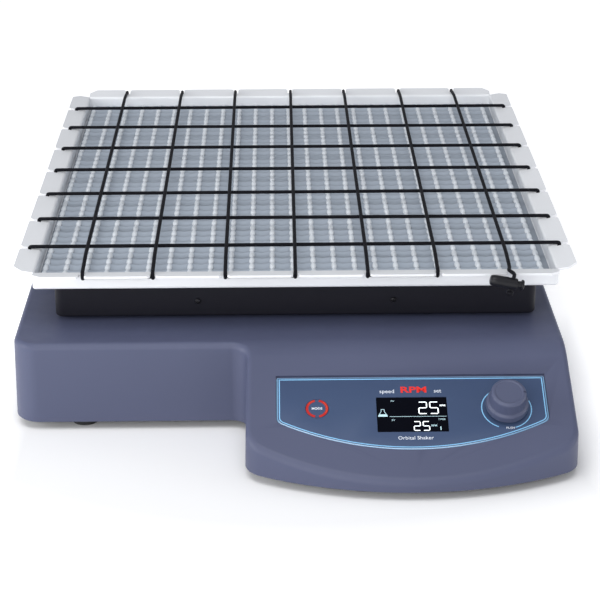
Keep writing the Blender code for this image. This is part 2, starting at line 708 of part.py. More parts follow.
skirt_screw_steel = material("screw_black", (0.02, 0.02, 0.022), 0.8, 0.35)
for n, (cx, side) in enumerate(((-73.0, -1), (73.0, -1), (73.0, 1), (-73.0, 1)), 1):
    bm = bmesh.new()
    face = PAN_D / 2
    turned(bm, [(1.2, -7.0), (1.2, -0.4), (1.2, 0.3), (2.1, 0.3), (2.1, 0.9), (1.5, 1.5)], n=12)
    bmesh.ops.rotate(
        bm, verts=bm.verts, cent=(0, 0, 0), matrix=Matrix.Rotation(math.radians(90 if side < 0 else -90), 3, "X")
    )
    place(bm, f"skirt_screw_{n}", skirt_screw_steel, (cx, side * face, SKIRT_Z))

# ---------------------------------------------------------------- tray
white_coat = material("white_powder_coat", WHITE_PAINT, 0.0, 0.38)
bm = bmesh.new()
prism(bm, rounded_box(-TRAY_W / 2, TRAY_W / 2, -TRAY_D / 2, TRAY_D / 2, 2.0, 2), TRAY_Z0, FLANGE_TOP - 0.6)
tray = place(bm, "tray", white_coat)
bm = bmesh.new()


def segment_ends(half, pitch):
    """Where the flange's segments start and stop along a side, between the notches."""
    cuts = [pitch * k for k in range(-3, 4)]
    ends = [-half] + [c + s * NOTCH_W / 2 for c in cuts for s in (-1, 1)] + [half]
    return list(zip(ends[0::2], ends[1::2]))


def flange_outline(half_w, half_d, reach):
    """The flange seen from above as one outline, with open corners, notches and chamfered segments."""
    sides = []
    for length, out, pitch in (
        (half_w, half_d, PITCH_X), (half_d, half_w, PITCH_Y), (half_w, half_d, PITCH_X), (half_d, half_w, PITCH_Y)
    ):
        run = [(-length + 1.0, out - 1.0)]
        spans = segment_ends(length - 1.0, pitch)
        for i, (a, b) in enumerate(spans):
            lead = 6.5 if i == 0 else 1.6
            tail = 6.5 if i == len(spans) - 1 else 1.6
            if i > 0:
                run.append((a, out + reach - NOTCH_L))
            else:
                run.append((a, out + 1.0))
            run += [(a, out + reach - lead), (a + lead, out + reach), (b - tail, out + reach), (b, out + reach - tail)]
            if i < len(spans) - 1:
                run.append((b, out + reach - NOTCH_L))
            else:
                run.append((b, out + 1.0))
        sides.append(run)
    outline = []
    for k, run in enumerate(sides):
        # the first run is the front one, then right, back and left
        a = math.radians(90 * k)
        for along, out in run:
            x, y = along, -out
            outline.append((x * math.cos(a) - y * math.sin(a), x * math.sin(a) + y * math.cos(a)))
    return outline


prism(bm, flange_outline(TRAY_W / 2, TRAY_D / 2, FLANGE), FLANGE_TOP - SHEET, FLANGE_TOP)
for co, no in (((TRAY_W / 2, 0, 0), (1, 0, 0)), ((0, TRAY_D / 2, 0), (0, 1, 0))):
    for side in (-1, 1):
        everything = bm.verts[:] + bm.edges[:] + bm.faces[:]
        bmesh.ops.bisect_plane(bm, geom=everything, dist=1e-5, plane_co=side * Vector(co), plane_no=no)
for vert in bm.verts:
    vert.co.z += max(0.0, abs(vert.co.x) - TRAY_W / 2, abs(vert.co.y) - TRAY_D / 2) * FLANGE_TILT
join = tray.modifiers.new("flange", "BOOLEAN")
join.operation = "UNION"
join.solver = "EXACT"
join.object = place(bm, "tray_flange", None, helper=True)
bm = bmesh.new()
w, d = TRAY_W / 2 - SHEET, TRAY_D / 2 - SHEET
prism(bm, rounded_box(-w, w, -d, d, 1.0, 2), TRAY_Z0 + SHEET, FLANGE_TOP + 5)
cut(tray, place(bm, "cut_tray", None, helper=True), "hollow")
bm = bmesh.new()
for cx, cy in TRAY_SCREWS:
    turned(bm, [(2.4, TRAY_Z0 - 2), (2.4, TRAY_Z0 + 0.2), (4.4, TRAY_Z0 + SHEET), (4.4, TRAY_Z0 + 4)], cx, cy, 10)
cut(tray, place(bm, "cut_countersinks", None, helper=True), "countersinks")

screw_steel = material("screw_zinc", STEEL, 1.0, 0.3)
for n, (cx, cy) in enumerate(TRAY_SCREWS, 1):
    bm = bmesh.new()
    turned(bm, [(2.0, 91.5), (2.0, TRAY_Z0 + 0.1), (3.7, TRAY_Z0 + SHEET - 0.1)], cx, cy, 10)
    place(bm, f"tray_screw_{n}", screw_steel)

# mat: a slab with the raised rows that run from front to back
mat_polymer = material("mat_silicone", (0.55, 0.60, 0.66), 0.0, 0.45)
MAT_Z0 = TRAY_Z0 + SHEET + 0.2
w, d = TRAY_W / 2 - SHEET - 0.8, TRAY_D / 2 - SHEET - 0.8
bm = bmesh.new()
ROWS = 24
step = 2 * w / ROWS
profile = [(-w, MAT_Z0)]
profile += [(w, MAT_Z0), (w, MAT_Z0 + MAT_T - 1.4)]
for k in reversed(range(ROWS)):
    mid = -w + step * (k + 0.5)
    profile += [
        (mid + 2.2, MAT_Z0 + MAT_T - 1.4), (mid + 1.5, MAT_Z0 + MAT_T),
        (mid - 1.5, MAT_Z0 + MAT_T), (mid - 2.2, MAT_Z0 + MAT_T - 1.4),
    ]
profile.append((-w, MAT_Z0 + MAT_T - 1.4))
low = [bm.verts.new((x, -d, z)) for x, z in profile]
high = [bm.verts.new((x, d, z)) for x, z in profile]
loop_faces(bm, low, high)
bm.faces.new(low[::-1])
bm.faces.new(high)
mat = place(bm, "mat", mat_polymer)

# ---------------------------------------------------------------- elastic cords
cord_black = material("cord_black", (0.012, 0.012, 0.014), 0.0, 0.6)
R = CORD / 2
ROOT_RISE = (FLANGE - NOTCH_L) * FLANGE_TILT
TOP_Z = FLANGE_TOP + ROOT_RISE + R + 0.3
HOOK_Z = FLANGE_TOP + ROOT_RISE - SHEET - R
UNDER_Z = FLANGE_TOP - SHEET - R - 0.05


def laced(half_along, out, pitch, crossing_z, first_pair_low):
    """A serpentine over seven runs, turned down through the notches and across below the flange.
    Each point is (across, along, z)."""
    at = out - NOTCH_L + R + 0.45
    under = half_along + R + 0.4
    lean = NOTCH_W / 2 - R - 0.35
    path = []
    going_low = first_pair_low
    for i in range(7):
        middle = pitch * (i - 3)
        # each end of a run leans in its notch towards the run that it is joined to
        low_lean = lean if (i % 2 == 0) == first_pair_low else -lean
        ends = {-1: middle + low_lean, 1: middle - low_lean}
        start, stop = (1, -1) if going_low else (-1, 1)
        x0, x1 = ends[start], ends[stop]
        path += [
            (x0, start * under, UNDER_Z),
            (x0, start * at, HOOK_Z),
            (x0, start * at, TOP_Z),
            (x0, start * (half_along + 3.0), TOP_Z),
            (x0 * 0.94 + x1 * 0.06, start * (half_along - 22.0), crossing_z),
            (x0 * 0.06 + x1 * 0.94, stop * (half_along - 22.0), crossing_z),
            (x1, stop * (half_along + 3.0), TOP_Z),
            (x1, stop * at, TOP_Z),
            (x1, stop * at, HOOK_Z),
            (x1, stop * under, UNDER_Z),
        ]
        going_low = not going_low
    return path[1:-1]


def smooth_corners(path, reach=1.6):
    """The path with each sharp turn replaced by three points."""
    out = [Vector(path[0])]
    for a, b, c in zip(path, path[1:], path[2:]):
        a, b, c = Vector(a), Vector(b), Vector(c)
        if (b - a).angle(c - b) > math.radians(50):
            k1 = min(reach, (b - a).length / 2.2)
            k2 = min(reach, (c - b).length / 2.2)
            first = b + (a - b).normalized() * k1
            last = b + (c - b).normalized() * k2
            out += [first, (first + last) * 0.32 + b * 0.36, last]
        else:
            out.append(b)
    out.append(Vector(path[-1]))
    return out


def knotted(path, first, last):
    """The path with a knot drawn at either end, along the way that the cord already points."""
    path = [(*p, 1.0) for p in path]

    def knot(end, before):
        way = (Vector(end[:3]) - Vector(before[:3])).normalized()
        return [(*(Vector(end[:3]) + way * go), share) for go, share in ((0.6, 1.0), (1.4, 1.9), (3.4, 1.9), (4.2, 1.1))]

    head = knot(path[0], path[1])[::-1] if first else []
    tail = knot(path[-1], path[-2]) if last else []
    return head + path + tail


cross_out = TRAY_W / 2 + FLANGE
long_out = TRAY_D / 2 + FLANGE
cross = smooth_corners(laced(TRAY_W / 2, cross_out, PITCH_Y, TOP_Z, False))
bm = bmesh.new()
sweep(bm, knotted([(y, x, z) for x, y, z in cross], True, True), R, 6)
elastic_cord_crosswise = place(bm, "elastic_cord_crosswise", cord_black)

# cord lock: a barrel hung in front of the flange, the cord led through it near its right end
LOCK = (156.6, -243.0, 110.6)
LOCK_LEAN = math.radians(11.0)
lock_up = Vector((math.sin(LOCK_LEAN), 0.0, math.cos(LOCK_LEAN)))
length = laced(TRAY_D / 2, long_out, PITCH_X, TOP_Z + CORD + 0.35, True)[:-2]
edge_x = length[-1][0] - 1.6
length += [
    (edge_x, -long_out + 3.5, TOP_Z + 1.2),
    (edge_x, -long_out - 1.0, TOP_Z + 2.4),
    tuple(Vector(LOCK) + lock_up * 7.6),
    tuple(Vector(LOCK) - lock_up * 5.2),
]
bm = bmesh.new()
sweep(bm, knotted(smooth_corners(length), True, True), R, 6)
elastic_cord_lengthwise = place(bm, "elastic_cord_lengthwise", cord_black)


def bar(bm, x0, x1, radii, n=20):
    """A turned piece along local x, radii as (radius, x) pairs from x0 to x1."""
    rings = []
    for r, x in radii:
        rings.append([bm.verts.new((x, y, z)) for y, z in ring_points(0, 0, r, n)])
    for a, b in zip(rings, rings[1:]):
        loop_faces(bm, a, b)
    bm.faces.new(rings[0][::-1])
    bm.faces.new(rings[-1])


lock_tilt = (0.0, LOCK_LEAN, 0.0)
lock_plastic = material("lock_plastic", (0.014, 0.014, 0.016), 0.0, 0.35)
bm = bmesh.new()
bar(bm, -16.5, 3.5, [(2.6, -16.5), (3.7, -15.6), (4.2, -13.0), (4.2, 2.9), (3.9, 3.5)])
cord_lock_body = place(bm, "cord_lock_body", lock_plastic, LOCK, lock_tilt)
bm = bmesh.new()
bar(bm, -11.0, 6.0, [(3.1, -11.0), (3.1, 6.0)])
cut(cord_lock_body, place(bm, "cut_lock_bore", None, LOCK, lock_tilt, True), "bore")
bm = bmesh.new()
turned(bm, [(1.75, -8.0), (1.75, 8.0)], n=12)
cut(cord_lock_body, place(bm, "cut_lock_cord", None, LOCK, lock_tilt, True), "cord")
bm = bmesh.new()
bar(bm, -6.6, 8.4, [(2.75, -6.6), (2.75, 6.6), (3.9, 6.8), (3.9, 7.9), (3.4, 8.4)])
cord_lock_button = place(bm, "cord_lock_button", lock_plastic, LOCK, lock_tilt)
bm = bmesh.new()
box(bm, -1.75, 4.9, -1.72, 1.72, -5.0, 5.0)
cut(cord_lock_button, place(bm, "cut_lock_slot", None, LOCK, lock_tilt, True), "slot")

for made in bpy.data.objects:
    if made.type == "MESH":
        for face in made.data.polygons:
            face.use_smooth = False
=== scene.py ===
"""Looks for the orbital platform shaker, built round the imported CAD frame."""

import math

import bmesh
import bpy
import numpy as np
from mathutils import Matrix, Vector


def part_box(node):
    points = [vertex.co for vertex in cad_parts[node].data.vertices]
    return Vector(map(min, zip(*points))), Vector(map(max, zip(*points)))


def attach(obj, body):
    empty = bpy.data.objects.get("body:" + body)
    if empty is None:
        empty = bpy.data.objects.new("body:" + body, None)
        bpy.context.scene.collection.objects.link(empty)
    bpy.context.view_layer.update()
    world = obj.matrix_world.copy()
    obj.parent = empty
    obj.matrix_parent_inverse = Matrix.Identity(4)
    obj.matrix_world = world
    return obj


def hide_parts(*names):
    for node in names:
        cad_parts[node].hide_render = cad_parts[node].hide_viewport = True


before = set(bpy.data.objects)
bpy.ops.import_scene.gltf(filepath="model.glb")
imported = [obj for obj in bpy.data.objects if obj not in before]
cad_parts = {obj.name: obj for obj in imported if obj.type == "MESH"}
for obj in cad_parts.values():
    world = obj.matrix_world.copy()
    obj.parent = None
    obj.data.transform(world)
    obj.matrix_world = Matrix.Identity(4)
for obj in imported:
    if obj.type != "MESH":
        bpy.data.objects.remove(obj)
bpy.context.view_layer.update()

MM = 0.001
scene = bpy.context.scene


def mm_box(node):
    low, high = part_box(node)
    return Vector(low) / MM, Vector(high) / MM


# ---- sizes, in millimetres, from the CAD boxes
tray_low, tray_high = mm_box("tray")
pan_low, pan_high = mm_box("platform_subframe")
house_low, house_high = mm_box("top_housing")
mat_low, mat_high = mm_box("mat")

CY = (tray_low.y + tray_high.y) / 2          # the tray centre, in front of or behind the frame origin
FLANGE = 14.0
FLANGE_TILT = math.tan(math.radians(9.0))
TRAY_W = tray_high.x - tray_low.x - 2 * FLANGE
TRAY_D = tray_high.y - tray_low.y - 2 * FLANGE
TRAY_Z0, FLANGE_TOP = tray_low.z, tray_high.z - FLANGE * FLANGE_TILT
SHEET = 1.8
PITCH_X, PITCH_Y, RUNS = 52.0, 59.0, 7         # the cords' spacing each way, and how many runs
NOTCH_W, NOTCH_L = 4.4, 9.0
CHAMFER, END_CHAMFER = 1.6, 6.5               # at the corners of the flange's segments
CORD = 2.8
R = CORD / 2

PAN_W, PAN_D = pan_high.x - pan_low.x, pan_high.y - pan_low.y
PAN_Z0, PAN_Z1 = pan_low.z, pan_high.z
PAN_SHEET, PAN_LIP, PAN_R, PAN_ROLL = 2.0, 9.0, 6.5, 1.6

Z_HOUSING, Z_DECK = house_low.z, house_high.z
DRAFT = 1.3
HOUSE_X0, HOUSE_X1 = -207.6, 196.0
HOUSE_Y0, HOUSE_Y1 = -252.0, 236.0
CONSOLE_X0, CONSOLE_MID, CONSOLE_R, CONSOLE_FRONT = -36.0, 80.0, 235.0, -363.9
CORNER, INNER_FILLET = 18.0, 12.0
WALL = 3.0
EDGE_ROLL, LOW_CHAMFER = 4.2, 0.7
SLOPE = math.radians(26.0)
SLOPE_Y = -254.0
CREASE_ROLL = 11.0

PANEL_X0, PANEL_X1 = -15.0, 177.0
PANEL_TOP, PANEL_SIDE, PANEL_LOW = -31.0, -71.0, -95.5
RECESS = 1.6
FACE, GLASS, KEY_FACE = -0.3, -0.35, -0.2     # the overlay, the display and the mode key, from the slope
u, v, w, h = 80.6, -64.9, 49.5, 30.2          # the display's middle on the slope, its width and height
KNOB_AT = (147.5, -60.2)
MODE_AT = (13.6, -59.2)
INLET, ROCKER = (128.0, 38.0), (84.0, 38.0)
REAR = HOUSE_Y1
SHAFT_AT = (-6.0, -8.0)                       # the main shaft, from the tray centre
CORNERS = ((-1, -1), (1, -1), (1, 1), (-1, 1))
IDLERS = [(sx * 132.0 + SHAFT_AT[0], sy * 160.0 + SHAFT_AT[1]) for sx, sy in CORNERS]
TRAY_SCREWS = [(sx * 150.0, sy * 190.0) for sx, sy in CORNERS]
SKIRT_X, SKIRT_Z = 73.0, 84.0                 # the screws in the sub-frame's front and rear skirts

ON_SLOPE = Matrix.Translation((0.0, SLOPE_Y, Z_DECK)) @ Matrix.Rotation(SLOPE, 4, "X")


def slope_at(u, v, height=0.0):
    return ON_SLOPE @ Matrix.Translation((u, v, height))


def about_x(degrees):
    return Matrix.Rotation(math.radians(degrees), 4, "X")


# ---- camera
PITCH, YAW, ROLL = math.radians(23.10), math.radians(0.79), math.radians(-0.15)
EYE = (-0.01387, -1.3822, 0.6118)
forward = Vector((math.sin(YAW) * math.cos(PITCH), math.cos(YAW) * math.cos(PITCH), -math.sin(PITCH)))
right = Vector((math.cos(YAW), -math.sin(YAW), 0.0))
up = right.cross(forward)
right_r = right * math.cos(ROLL) + up * math.sin(ROLL)
up_r = up * math.cos(ROLL) - right * math.sin(ROLL)
cam_data = bpy.data.cameras.new("camera")
cam_data.sensor_width = 36.0
cam_data.lens = 108.0
cam_data.clip_start, cam_data.clip_end = 0.05, 60.0
camera = bpy.data.objects.new("camera", cam_data)
camera.matrix_world = Matrix.Translation(EYE) @ Matrix((right_r, up_r, -forward)).transposed().to_4x4()
scene.collection.objects.link(camera)
scene.camera = camera


# ---- materials
class Shader:
    """A Principled material with a few procedural helpers. Coordinates are the row frame's, in metres."""

    def __init__(self, name, colour, rough=0.5, metal=0.0, **more):
        self.material = bpy.data.materials.new(name)
        self.material.use_nodes = True
        self.tree = self.material.node_tree
        self.shader = self.tree.nodes["Principled BSDF"]
        self.place = self.node("ShaderNodeTexCoord").outputs["Object"]
        self.set("Base Color", (*colour, 1.0))
        self.set("Roughness", rough)
        self.set("Metallic", metal)
        self.colour, self.rough = colour, rough
        self.height = None
        for key, value in more.items():
            self.set(key.replace("_", " ").title().replace("Ior", "IOR"), value)

    def set(self, name, value):
        self.shader.inputs[name].default_value = value

    def node(self, kind, **settings):
        made = self.tree.nodes.new(kind)
        for key, value in settings.items():
            setattr(made, key, value)
        return made

    def link(self, a, b):
        self.tree.links.new(a, b)

    def stretch(self, scale):
        mapping = self.node("ShaderNodeMapping")
        mapping.inputs["Scale"].default_value = scale
        self.link(self.place, mapping.inputs["Vector"])
        return mapping.outputs["Vector"]

    def axis(self, name):
        apart = self.node("ShaderNodeSeparateXYZ")
        self.link(self.place, apart.inputs["Vector"])
        return apart.outputs[name]

    def noise(self, scale, detail=3.0, rough=0.5, stretch=None):
        made = self.node("ShaderNodeTexNoise")
        made.inputs["Scale"].default_value = scale
        made.inputs["Detail"].default_value = detail
        made.inputs["Roughness"].default_value = rough
        self.link(self.stretch(stretch) if stretch else self.place, made.inputs["Vector"])
        return made.outputs["Fac"]

    def cells(self, scale, feature="F1"):
        made = self.node("ShaderNodeTexVoronoi", feature=feature)
        made.inputs["Scale"].default_value = scale
        self.link(self.place, made.inputs["Vector"])
        return made.outputs["Distance"]

    def spread(self, value, low, high, from_low=0.3, from_high=0.7):
        made = self.node("ShaderNodeMapRange")
        ends = {"From Min": from_low, "From Max": from_high, "To Min": low, "To Max": high}
        for key, number in ends.items():
            made.inputs[key].default_value = number
        self.link(value, made.inputs["Value"])
        return made.outputs["Result"]

    def mottle_and_painted_shade(self, value, dark, light, from_low=0.3, from_high=0.7):
        """The base colour between two shares of itself, by a value: a noise gives random mottling, a height
        gives painted shade.
        """
        mix = self.node("ShaderNodeMix", data_type="RGBA")
        self.link(self.spread(value, 0.0, 1.0, from_low, from_high), mix.inputs["Factor"])
        mix.inputs["A"].default_value = (*[c * dark for c in self.colour], 1.0)
        mix.inputs["B"].default_value = (*[min(1.0, c * light) for c in self.colour], 1.0)
        self.link(mix.outputs["Result"], self.shader.inputs["Base Color"])
        return self

    def polish(self, value, low, high):
        self.link(self.spread(value, low, high), self.shader.inputs["Roughness"])
        return self

    def relief(self, value, distance):
        """Adds a bump layer of that depth, in metres."""
        bump = self.node("ShaderNodeBump")
        bump.inputs["Strength"].default_value = 1.0
        bump.inputs["Distance"].default_value = distance
        self.link(value, bump.inputs["Height"])
        if self.height is not None:
            self.link(self.height, bump.inputs["Normal"])
        self.height = bump.outputs["Normal"]
        self.link(self.height, self.shader.inputs["Normal"])
        return self


def moulded(name, colour, rough, grain=1500.0, depth=1.2e-5, **more):
    """Moulded plastic with a fine spark-eroded grain."""
    s = Shader(name, colour, rough, **more)
    s.mottle_and_painted_shade(s.noise(7.0, 4.0), 0.96, 1.04)
    s.polish(s.noise(60.0, 5.0, 0.6), rough - 0.04, rough + 0.06)
    s.relief(s.noise(grain, 2.0), depth)
    s.relief(s.noise(140.0, 2.0), 1.5e-5)
    return s.material


def powder(name, colour, rough, **more):
    """Powder coat: orange peel over sheet metal."""
    s = Shader(name, colour, rough, **more)
    s.mottle_and_painted_shade(s.noise(11.0, 4.0), 0.975, 1.02)
    s.polish(s.noise(90.0, 4.0), rough - 0.05, rough + 0.06)
    s.relief(s.noise(620.0, 2.0), 2.2e-5)
    s.relief(s.cells(1900.0, "SMOOTH_F1"), 0.8e-5)
    return s.material


def machined(name, colour, rough, along=(1.0, 1.0, 40.0), **more):
    """Turned or ground metal: fine streaks, with cloudy stains."""
    s = Shader(name, colour, rough, 1.0, **more)
    s.mottle_and_painted_shade(s.noise(30.0, 5.0), 0.86, 1.06)
    s.polish(s.noise(55.0, 5.0, 0.6, along), rough - 0.08, rough + 0.12)
    s.relief(s.noise(45.0, 3.0, 0.6, along), 1.2e-5)
    return s.material


def rubbery(name, colour, rough):
    s = Shader(name, colour, rough)
    s.mottle_and_painted_shade(s.noise(60.0, 5.0), 0.8, 1.35)
    s.polish(s.noise(200.0, 3.0), rough - 0.1, rough + 0.08)
    s.relief(s.noise(900.0, 3.0), 3e-5)
    return s.material


def glossy(name, colour, rough, **more):
    """A printed or lacquered face with faint wiping marks."""
    s = Shader(name, colour, rough, **more)
    s.mottle_and_painted_shade(s.noise(14.0, 3.0), 0.97, 1.03)
    s.polish(s.noise(38.0, 6.0, 0.65, (1.0, 3.0, 1.0)), rough - 0.03, rough + 0.05)
    s.relief(s.noise(260.0, 2.0), 0.5e-5)
    return s.material


def glowing(name, colour, power):
    """A lit display segment, a little uneven as a backlight is."""
    s = Shader(name, colour, 0.4)
    s.set("Emission Color", (*colour, 1.0))
    s.link(s.spread(s.noise(420.0, 2.0), power * 0.88, power * 1.1), s.shader.inputs["Emission Strength"])
    return s.material


def braided(name, colour, rough):
    """A braided sheath. The attribute lay holds (mm along, turns round)."""
    s = Shader(name, colour, rough, specular_ior_level=0.14)
    lay = s.node("ShaderNodeAttribute", attribute_name="lay").outputs["Vector"]
    layers = []
    for turn in (-1.0, 1.0):
        mapping = s.node("ShaderNodeMapping")
        mapping.inputs["Scale"].default_value = (0.36, 1.0, 1.0)
        mapping.inputs["Rotation"].default_value = (0.0, 0.0, turn * math.radians(45.0))
        s.link(lay, mapping.inputs["Vector"])
        wave = s.node("ShaderNodeTexWave", wave_type="BANDS", bands_direction="X")
        wave.inputs["Scale"].default_value = 1.35
        s.link(mapping.outputs["Vector"], wave.inputs["Vector"])
        layers.append(wave.outputs["Fac"])
    top = s.node("ShaderNodeMath", operation="MAXIMUM")
    s.link(layers[0], top.inputs[0])
    s.link(layers[1], top.inputs[1])
    # painted shade and sheen: the colour follows the weave's height, darker in the grooves between strands
    # and lighter on their crowns
    s.mottle_and_painted_shade(top.outputs["Value"], 0.55, 1.5)
    s.relief(top.outputs["Value"], 1.6e-4)
    s.relief(s.noise(1800.0, 2.0), 3e-5)
    return s.material


housing_plastic = moulded("housing_plastic", (0.076, 0.086, 0.147), 0.46, specular_ior_level=0.3)
knob_plastic = moulded("knob_plastic", (0.072, 0.083, 0.142), 0.42, specular_ior_level=0.35)
black_paint = powder("black_powder_coat", (0.0075, 0.0075, 0.0125), 0.5, specular_ior_level=0.16)
white_paint = powder("white_powder_coat", (0.77, 0.785, 0.81), 0.36, coat_weight=0.2, coat_roughness=0.25)
cord_sheath = braided("cord_sheath", (0.0042, 0.0042, 0.0068), 0.6)
black_plastic = moulded("black_plastic", (0.008, 0.008, 0.0105), 0.36, 900.0, 2e-5, specular_ior_level=0.3)
foot_rubber = rubbery("foot_rubber", (0.018, 0.018, 0.019), 0.7)
belt_rubber = rubbery("belt_rubber", (0.014, 0.014, 0.015), 0.62)
bright_steel = machined("bright_steel", (0.56, 0.57, 0.59), 0.3)
plate_steel = machined("plate_steel", (0.50, 0.51, 0.53), 0.4, (40.0, 1.0, 1.0))
cast_alloy = machined("cast_alloy", (0.62, 0.63, 0.65), 0.36)
motor_paint = powder("motor_paint", (0.03, 0.03, 0.033), 0.5)
screw_black = machined("screw_black", (0.03, 0.03, 0.033), 0.3)
overlay_blue = glossy("overlay_blue", (0.046, 0.072, 0.142), 0.36, specular_ior_level=0.2)
# the overlay's clear bevelled edge: its light blue colour is a painted highlight for the glints along the
# bevel
bevel_painted_glint = glossy("overlay_edge_painted_glint", (0.20, 0.38, 0.58), 0.1, coat_weight=1.0, coat_roughness=0.03)
line_blue = glossy("line_blue", (0.22, 0.50, 0.78), 0.35)
print_white = glossy("print_white", (0.75, 0.79, 0.86), 0.4)
print_red = glossy("print_red", (0.72, 0.02, 0.012), 0.35)
print_deep_red = glossy("print_deep_red", (0.42, 0.008, 0.005), 0.35)
# orange painted highlight: the glints on the mode key's red ring
painted_glint_orange = glossy("painted_glint_orange", (0.62, 0.07, 0.02), 0.35)
lcd_glass = glossy("lcd_glass", (0.0008, 0.0012, 0.0040), 0.2, specular_ior_level=0.08)
digit_white = glowing("digit_white", (0.86, 0.93, 0.95), 0.72)
digit_dim = glowing("digit_dim", (0.42, 0.60, 0.66), 0.34)
rocker_red = moulded("rocker_red", (0.42, 0.012, 0.01), 0.3)
board_green = glossy("board_green", (0.01, 0.09, 0.04), 0.4)
brass_pins = machined("brass_pins", (0.66, 0.55, 0.36), 0.28)


def silicone(name, colour, rough, dark, low, high):
    """Moulded silicone with painted shade in its hollows and a faint painted highlight on its tops: low and
    high are heights in metres.
    """
    s = Shader(name, colour, rough, specular_ior_level=0.35)
    s.mottle_and_painted_shade(s.axis("Z"), dark, 1.08, low, high)
    s.polish(s.noise(70.0, 4.0), rough - 0.06, rough + 0.08)
    s.relief(s.noise(500.0, 3.0), 3e-5)
    return s.material


MAT_TOP = mat_high.z * MM
# painted shade: the web darkens towards the bottom of its scallops, the nubs towards their feet
mat_body = silicone("mat_body", (0.40, 0.455, 0.53), 0.42, 0.6, MAT_TOP - 0.0034, MAT_TOP - 0.0014)
# the nubs are a lighter copy of the web's silicone: a painted highlight for the light their tops catch
mat_nub = silicone("mat_nub", (0.60, 0.635, 0.675), 0.36, 0.8, MAT_TOP - 0.0022, MAT_TOP - 0.0006)


# ---- mesh helpers
def finish_mesh(obj, sharp=32.0, weighted=True):
    """Applies the modifiers, then smooth shading with its edges kept where the faces turn more than sharp."""
    if obj.modifiers:
        bpy.context.view_layer.update()
        graph = bpy.context.evaluated_depsgraph_get()
        mesh = bpy.data.meshes.new_from_object(obj.evaluated_get(graph))
        obj.modifiers.clear()
        old, obj.data = obj.data, mesh
        bpy.data.meshes.remove(old)
    obj.data.shade_smooth()
    obj.data.set_sharp_from_angle(angle=math.radians(sharp))
    if weighted:
        modifier = obj.modifiers.new("normals", "WEIGHTED_NORMAL")
        modifier.keep_sharp = True
        modifier.weight = 60
    return obj


def new_object(name, bm, turn=None, mats=()):
    """An object from a mesh drawn in millimetres, from the tray centre or in turn's own frame."""
    bmesh.ops.remove_doubles(bm, verts=bm.verts, dist=1e-4)
    bmesh.ops.recalc_face_normals(bm, faces=bm.faces)
    bm.transform(Matrix.Scale(MM, 4) @ Matrix.Translation((0.0, CY, 0.0)) @ (turn or Matrix.Identity(4)))
    mesh = bpy.data.meshes.new(name)
    bm.to_mesh(mesh)
    bm.free()
    made = bpy.data.objects.new(name, mesh)
    scene.collection.objects.link(made)
    for m in mats:
        mesh.materials.append(m)
    return made


def piece(name, bm, mats, body, stands_for=(), turn=None, cuts=(), bevel=0.0, segments=2,
          bevel_angle=45.0, sharp=32.0, weighted=True, joins=(), trims=()):
    """A visible piece: mesh, booleans, bevel and normals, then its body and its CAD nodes."""
    made = new_object(name, bm, turn, mats if isinstance(mats, (list, tuple)) else [mats])
    helpers = []
    for operation, tools in (("UNION", joins), ("DIFFERENCE", cuts), ("INTERSECT", trims)):
        for tool in tools:
            helpers.append(tool)
            modifier = made.modifiers.new("shape", "BOOLEAN")
            modifier.operation = operation
            modifier.solver = "EXACT"
            modifier.object = tool
    if bevel:
        modifier = made.modifiers.new("edges", "BEVEL")
        modifier.width = bevel * MM
        modifier.segments = segments
        modifier.limit_method = "ANGLE"
        modifier.angle_limit = math.radians(bevel_angle)
    finish_mesh(made, sharp, weighted)
    for tool in helpers:
        bpy.data.objects.remove(tool, do_unlink=True)
    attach(made, body)
    if stands_for:
        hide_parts(*stands_for)
    return made


def loop_faces(bm, low, high, index=0):
    count = len(low)
    for i in range(count):
        j = (i + 1) % count
        bm.faces.new((low[i], low[j], high[j], high[i])).material_index = index


def ring(bm, outline, z):
    return [bm.verts.new((x, y, z)) for x, y in outline]


def skin(bm, rings, caps=(True, True), index=0):
    """Faces along a run of rings, and a face over its first and last ring."""
    for a, b in zip(rings, rings[1:]):
        loop_faces(bm, a, b, index)
    if caps[0]:
        bm.faces.new(rings[0][::-1]).material_index = index
    if caps[1]:
        bm.faces.new(rings[-1]).material_index = index
    return rings


def stacked(bm, levels, caps=(True, True), index=0):
    """A closed form from (outline, z) levels of one point count, from bottom to top."""
    return skin(bm, [ring(bm, outline, z) for outline, z in levels], caps, index)


def prism(bm, outline, z0, z1):
    stacked(bm, [(outline, z0), (outline, z1)])


def box(bm, x0, x1, y0, y1, z0, z1):
    prism(bm, [(x0, y0), (x1, y0), (x1, y1), (x0, y1)], z0, z1)


def behind(bm, at, half_w, half_h, y0, y1):
    """A block through the rear wall, centred on its point (x, z), with depths counted from the wall."""
    box(bm, at[0] - half_w, at[0] + half_w, REAR + y0, REAR + y1, at[1] - half_h, at[1] + half_h)


def circle(cx, cy, r, n):
    return [(cx + r * math.cos(math.tau * i / n), cy + r * math.sin(math.tau * i / n)) for i in range(n)]


def turned(bm, profile, cx=0.0, cy=0.0, n=48):
    """A solid of revolution about the upright line through cx, cy, from (radius, z) pairs."""
    stacked(bm, [(circle(cx, cy, r, n), z) for r, z in profile])


def tool(draw, turn=None):
    """A cutter that draw(bm) fills in."""
    bm = bmesh.new()
    draw(bm)
    made = new_object("tool", bm, turn)
    made.hide_render = True
    return made


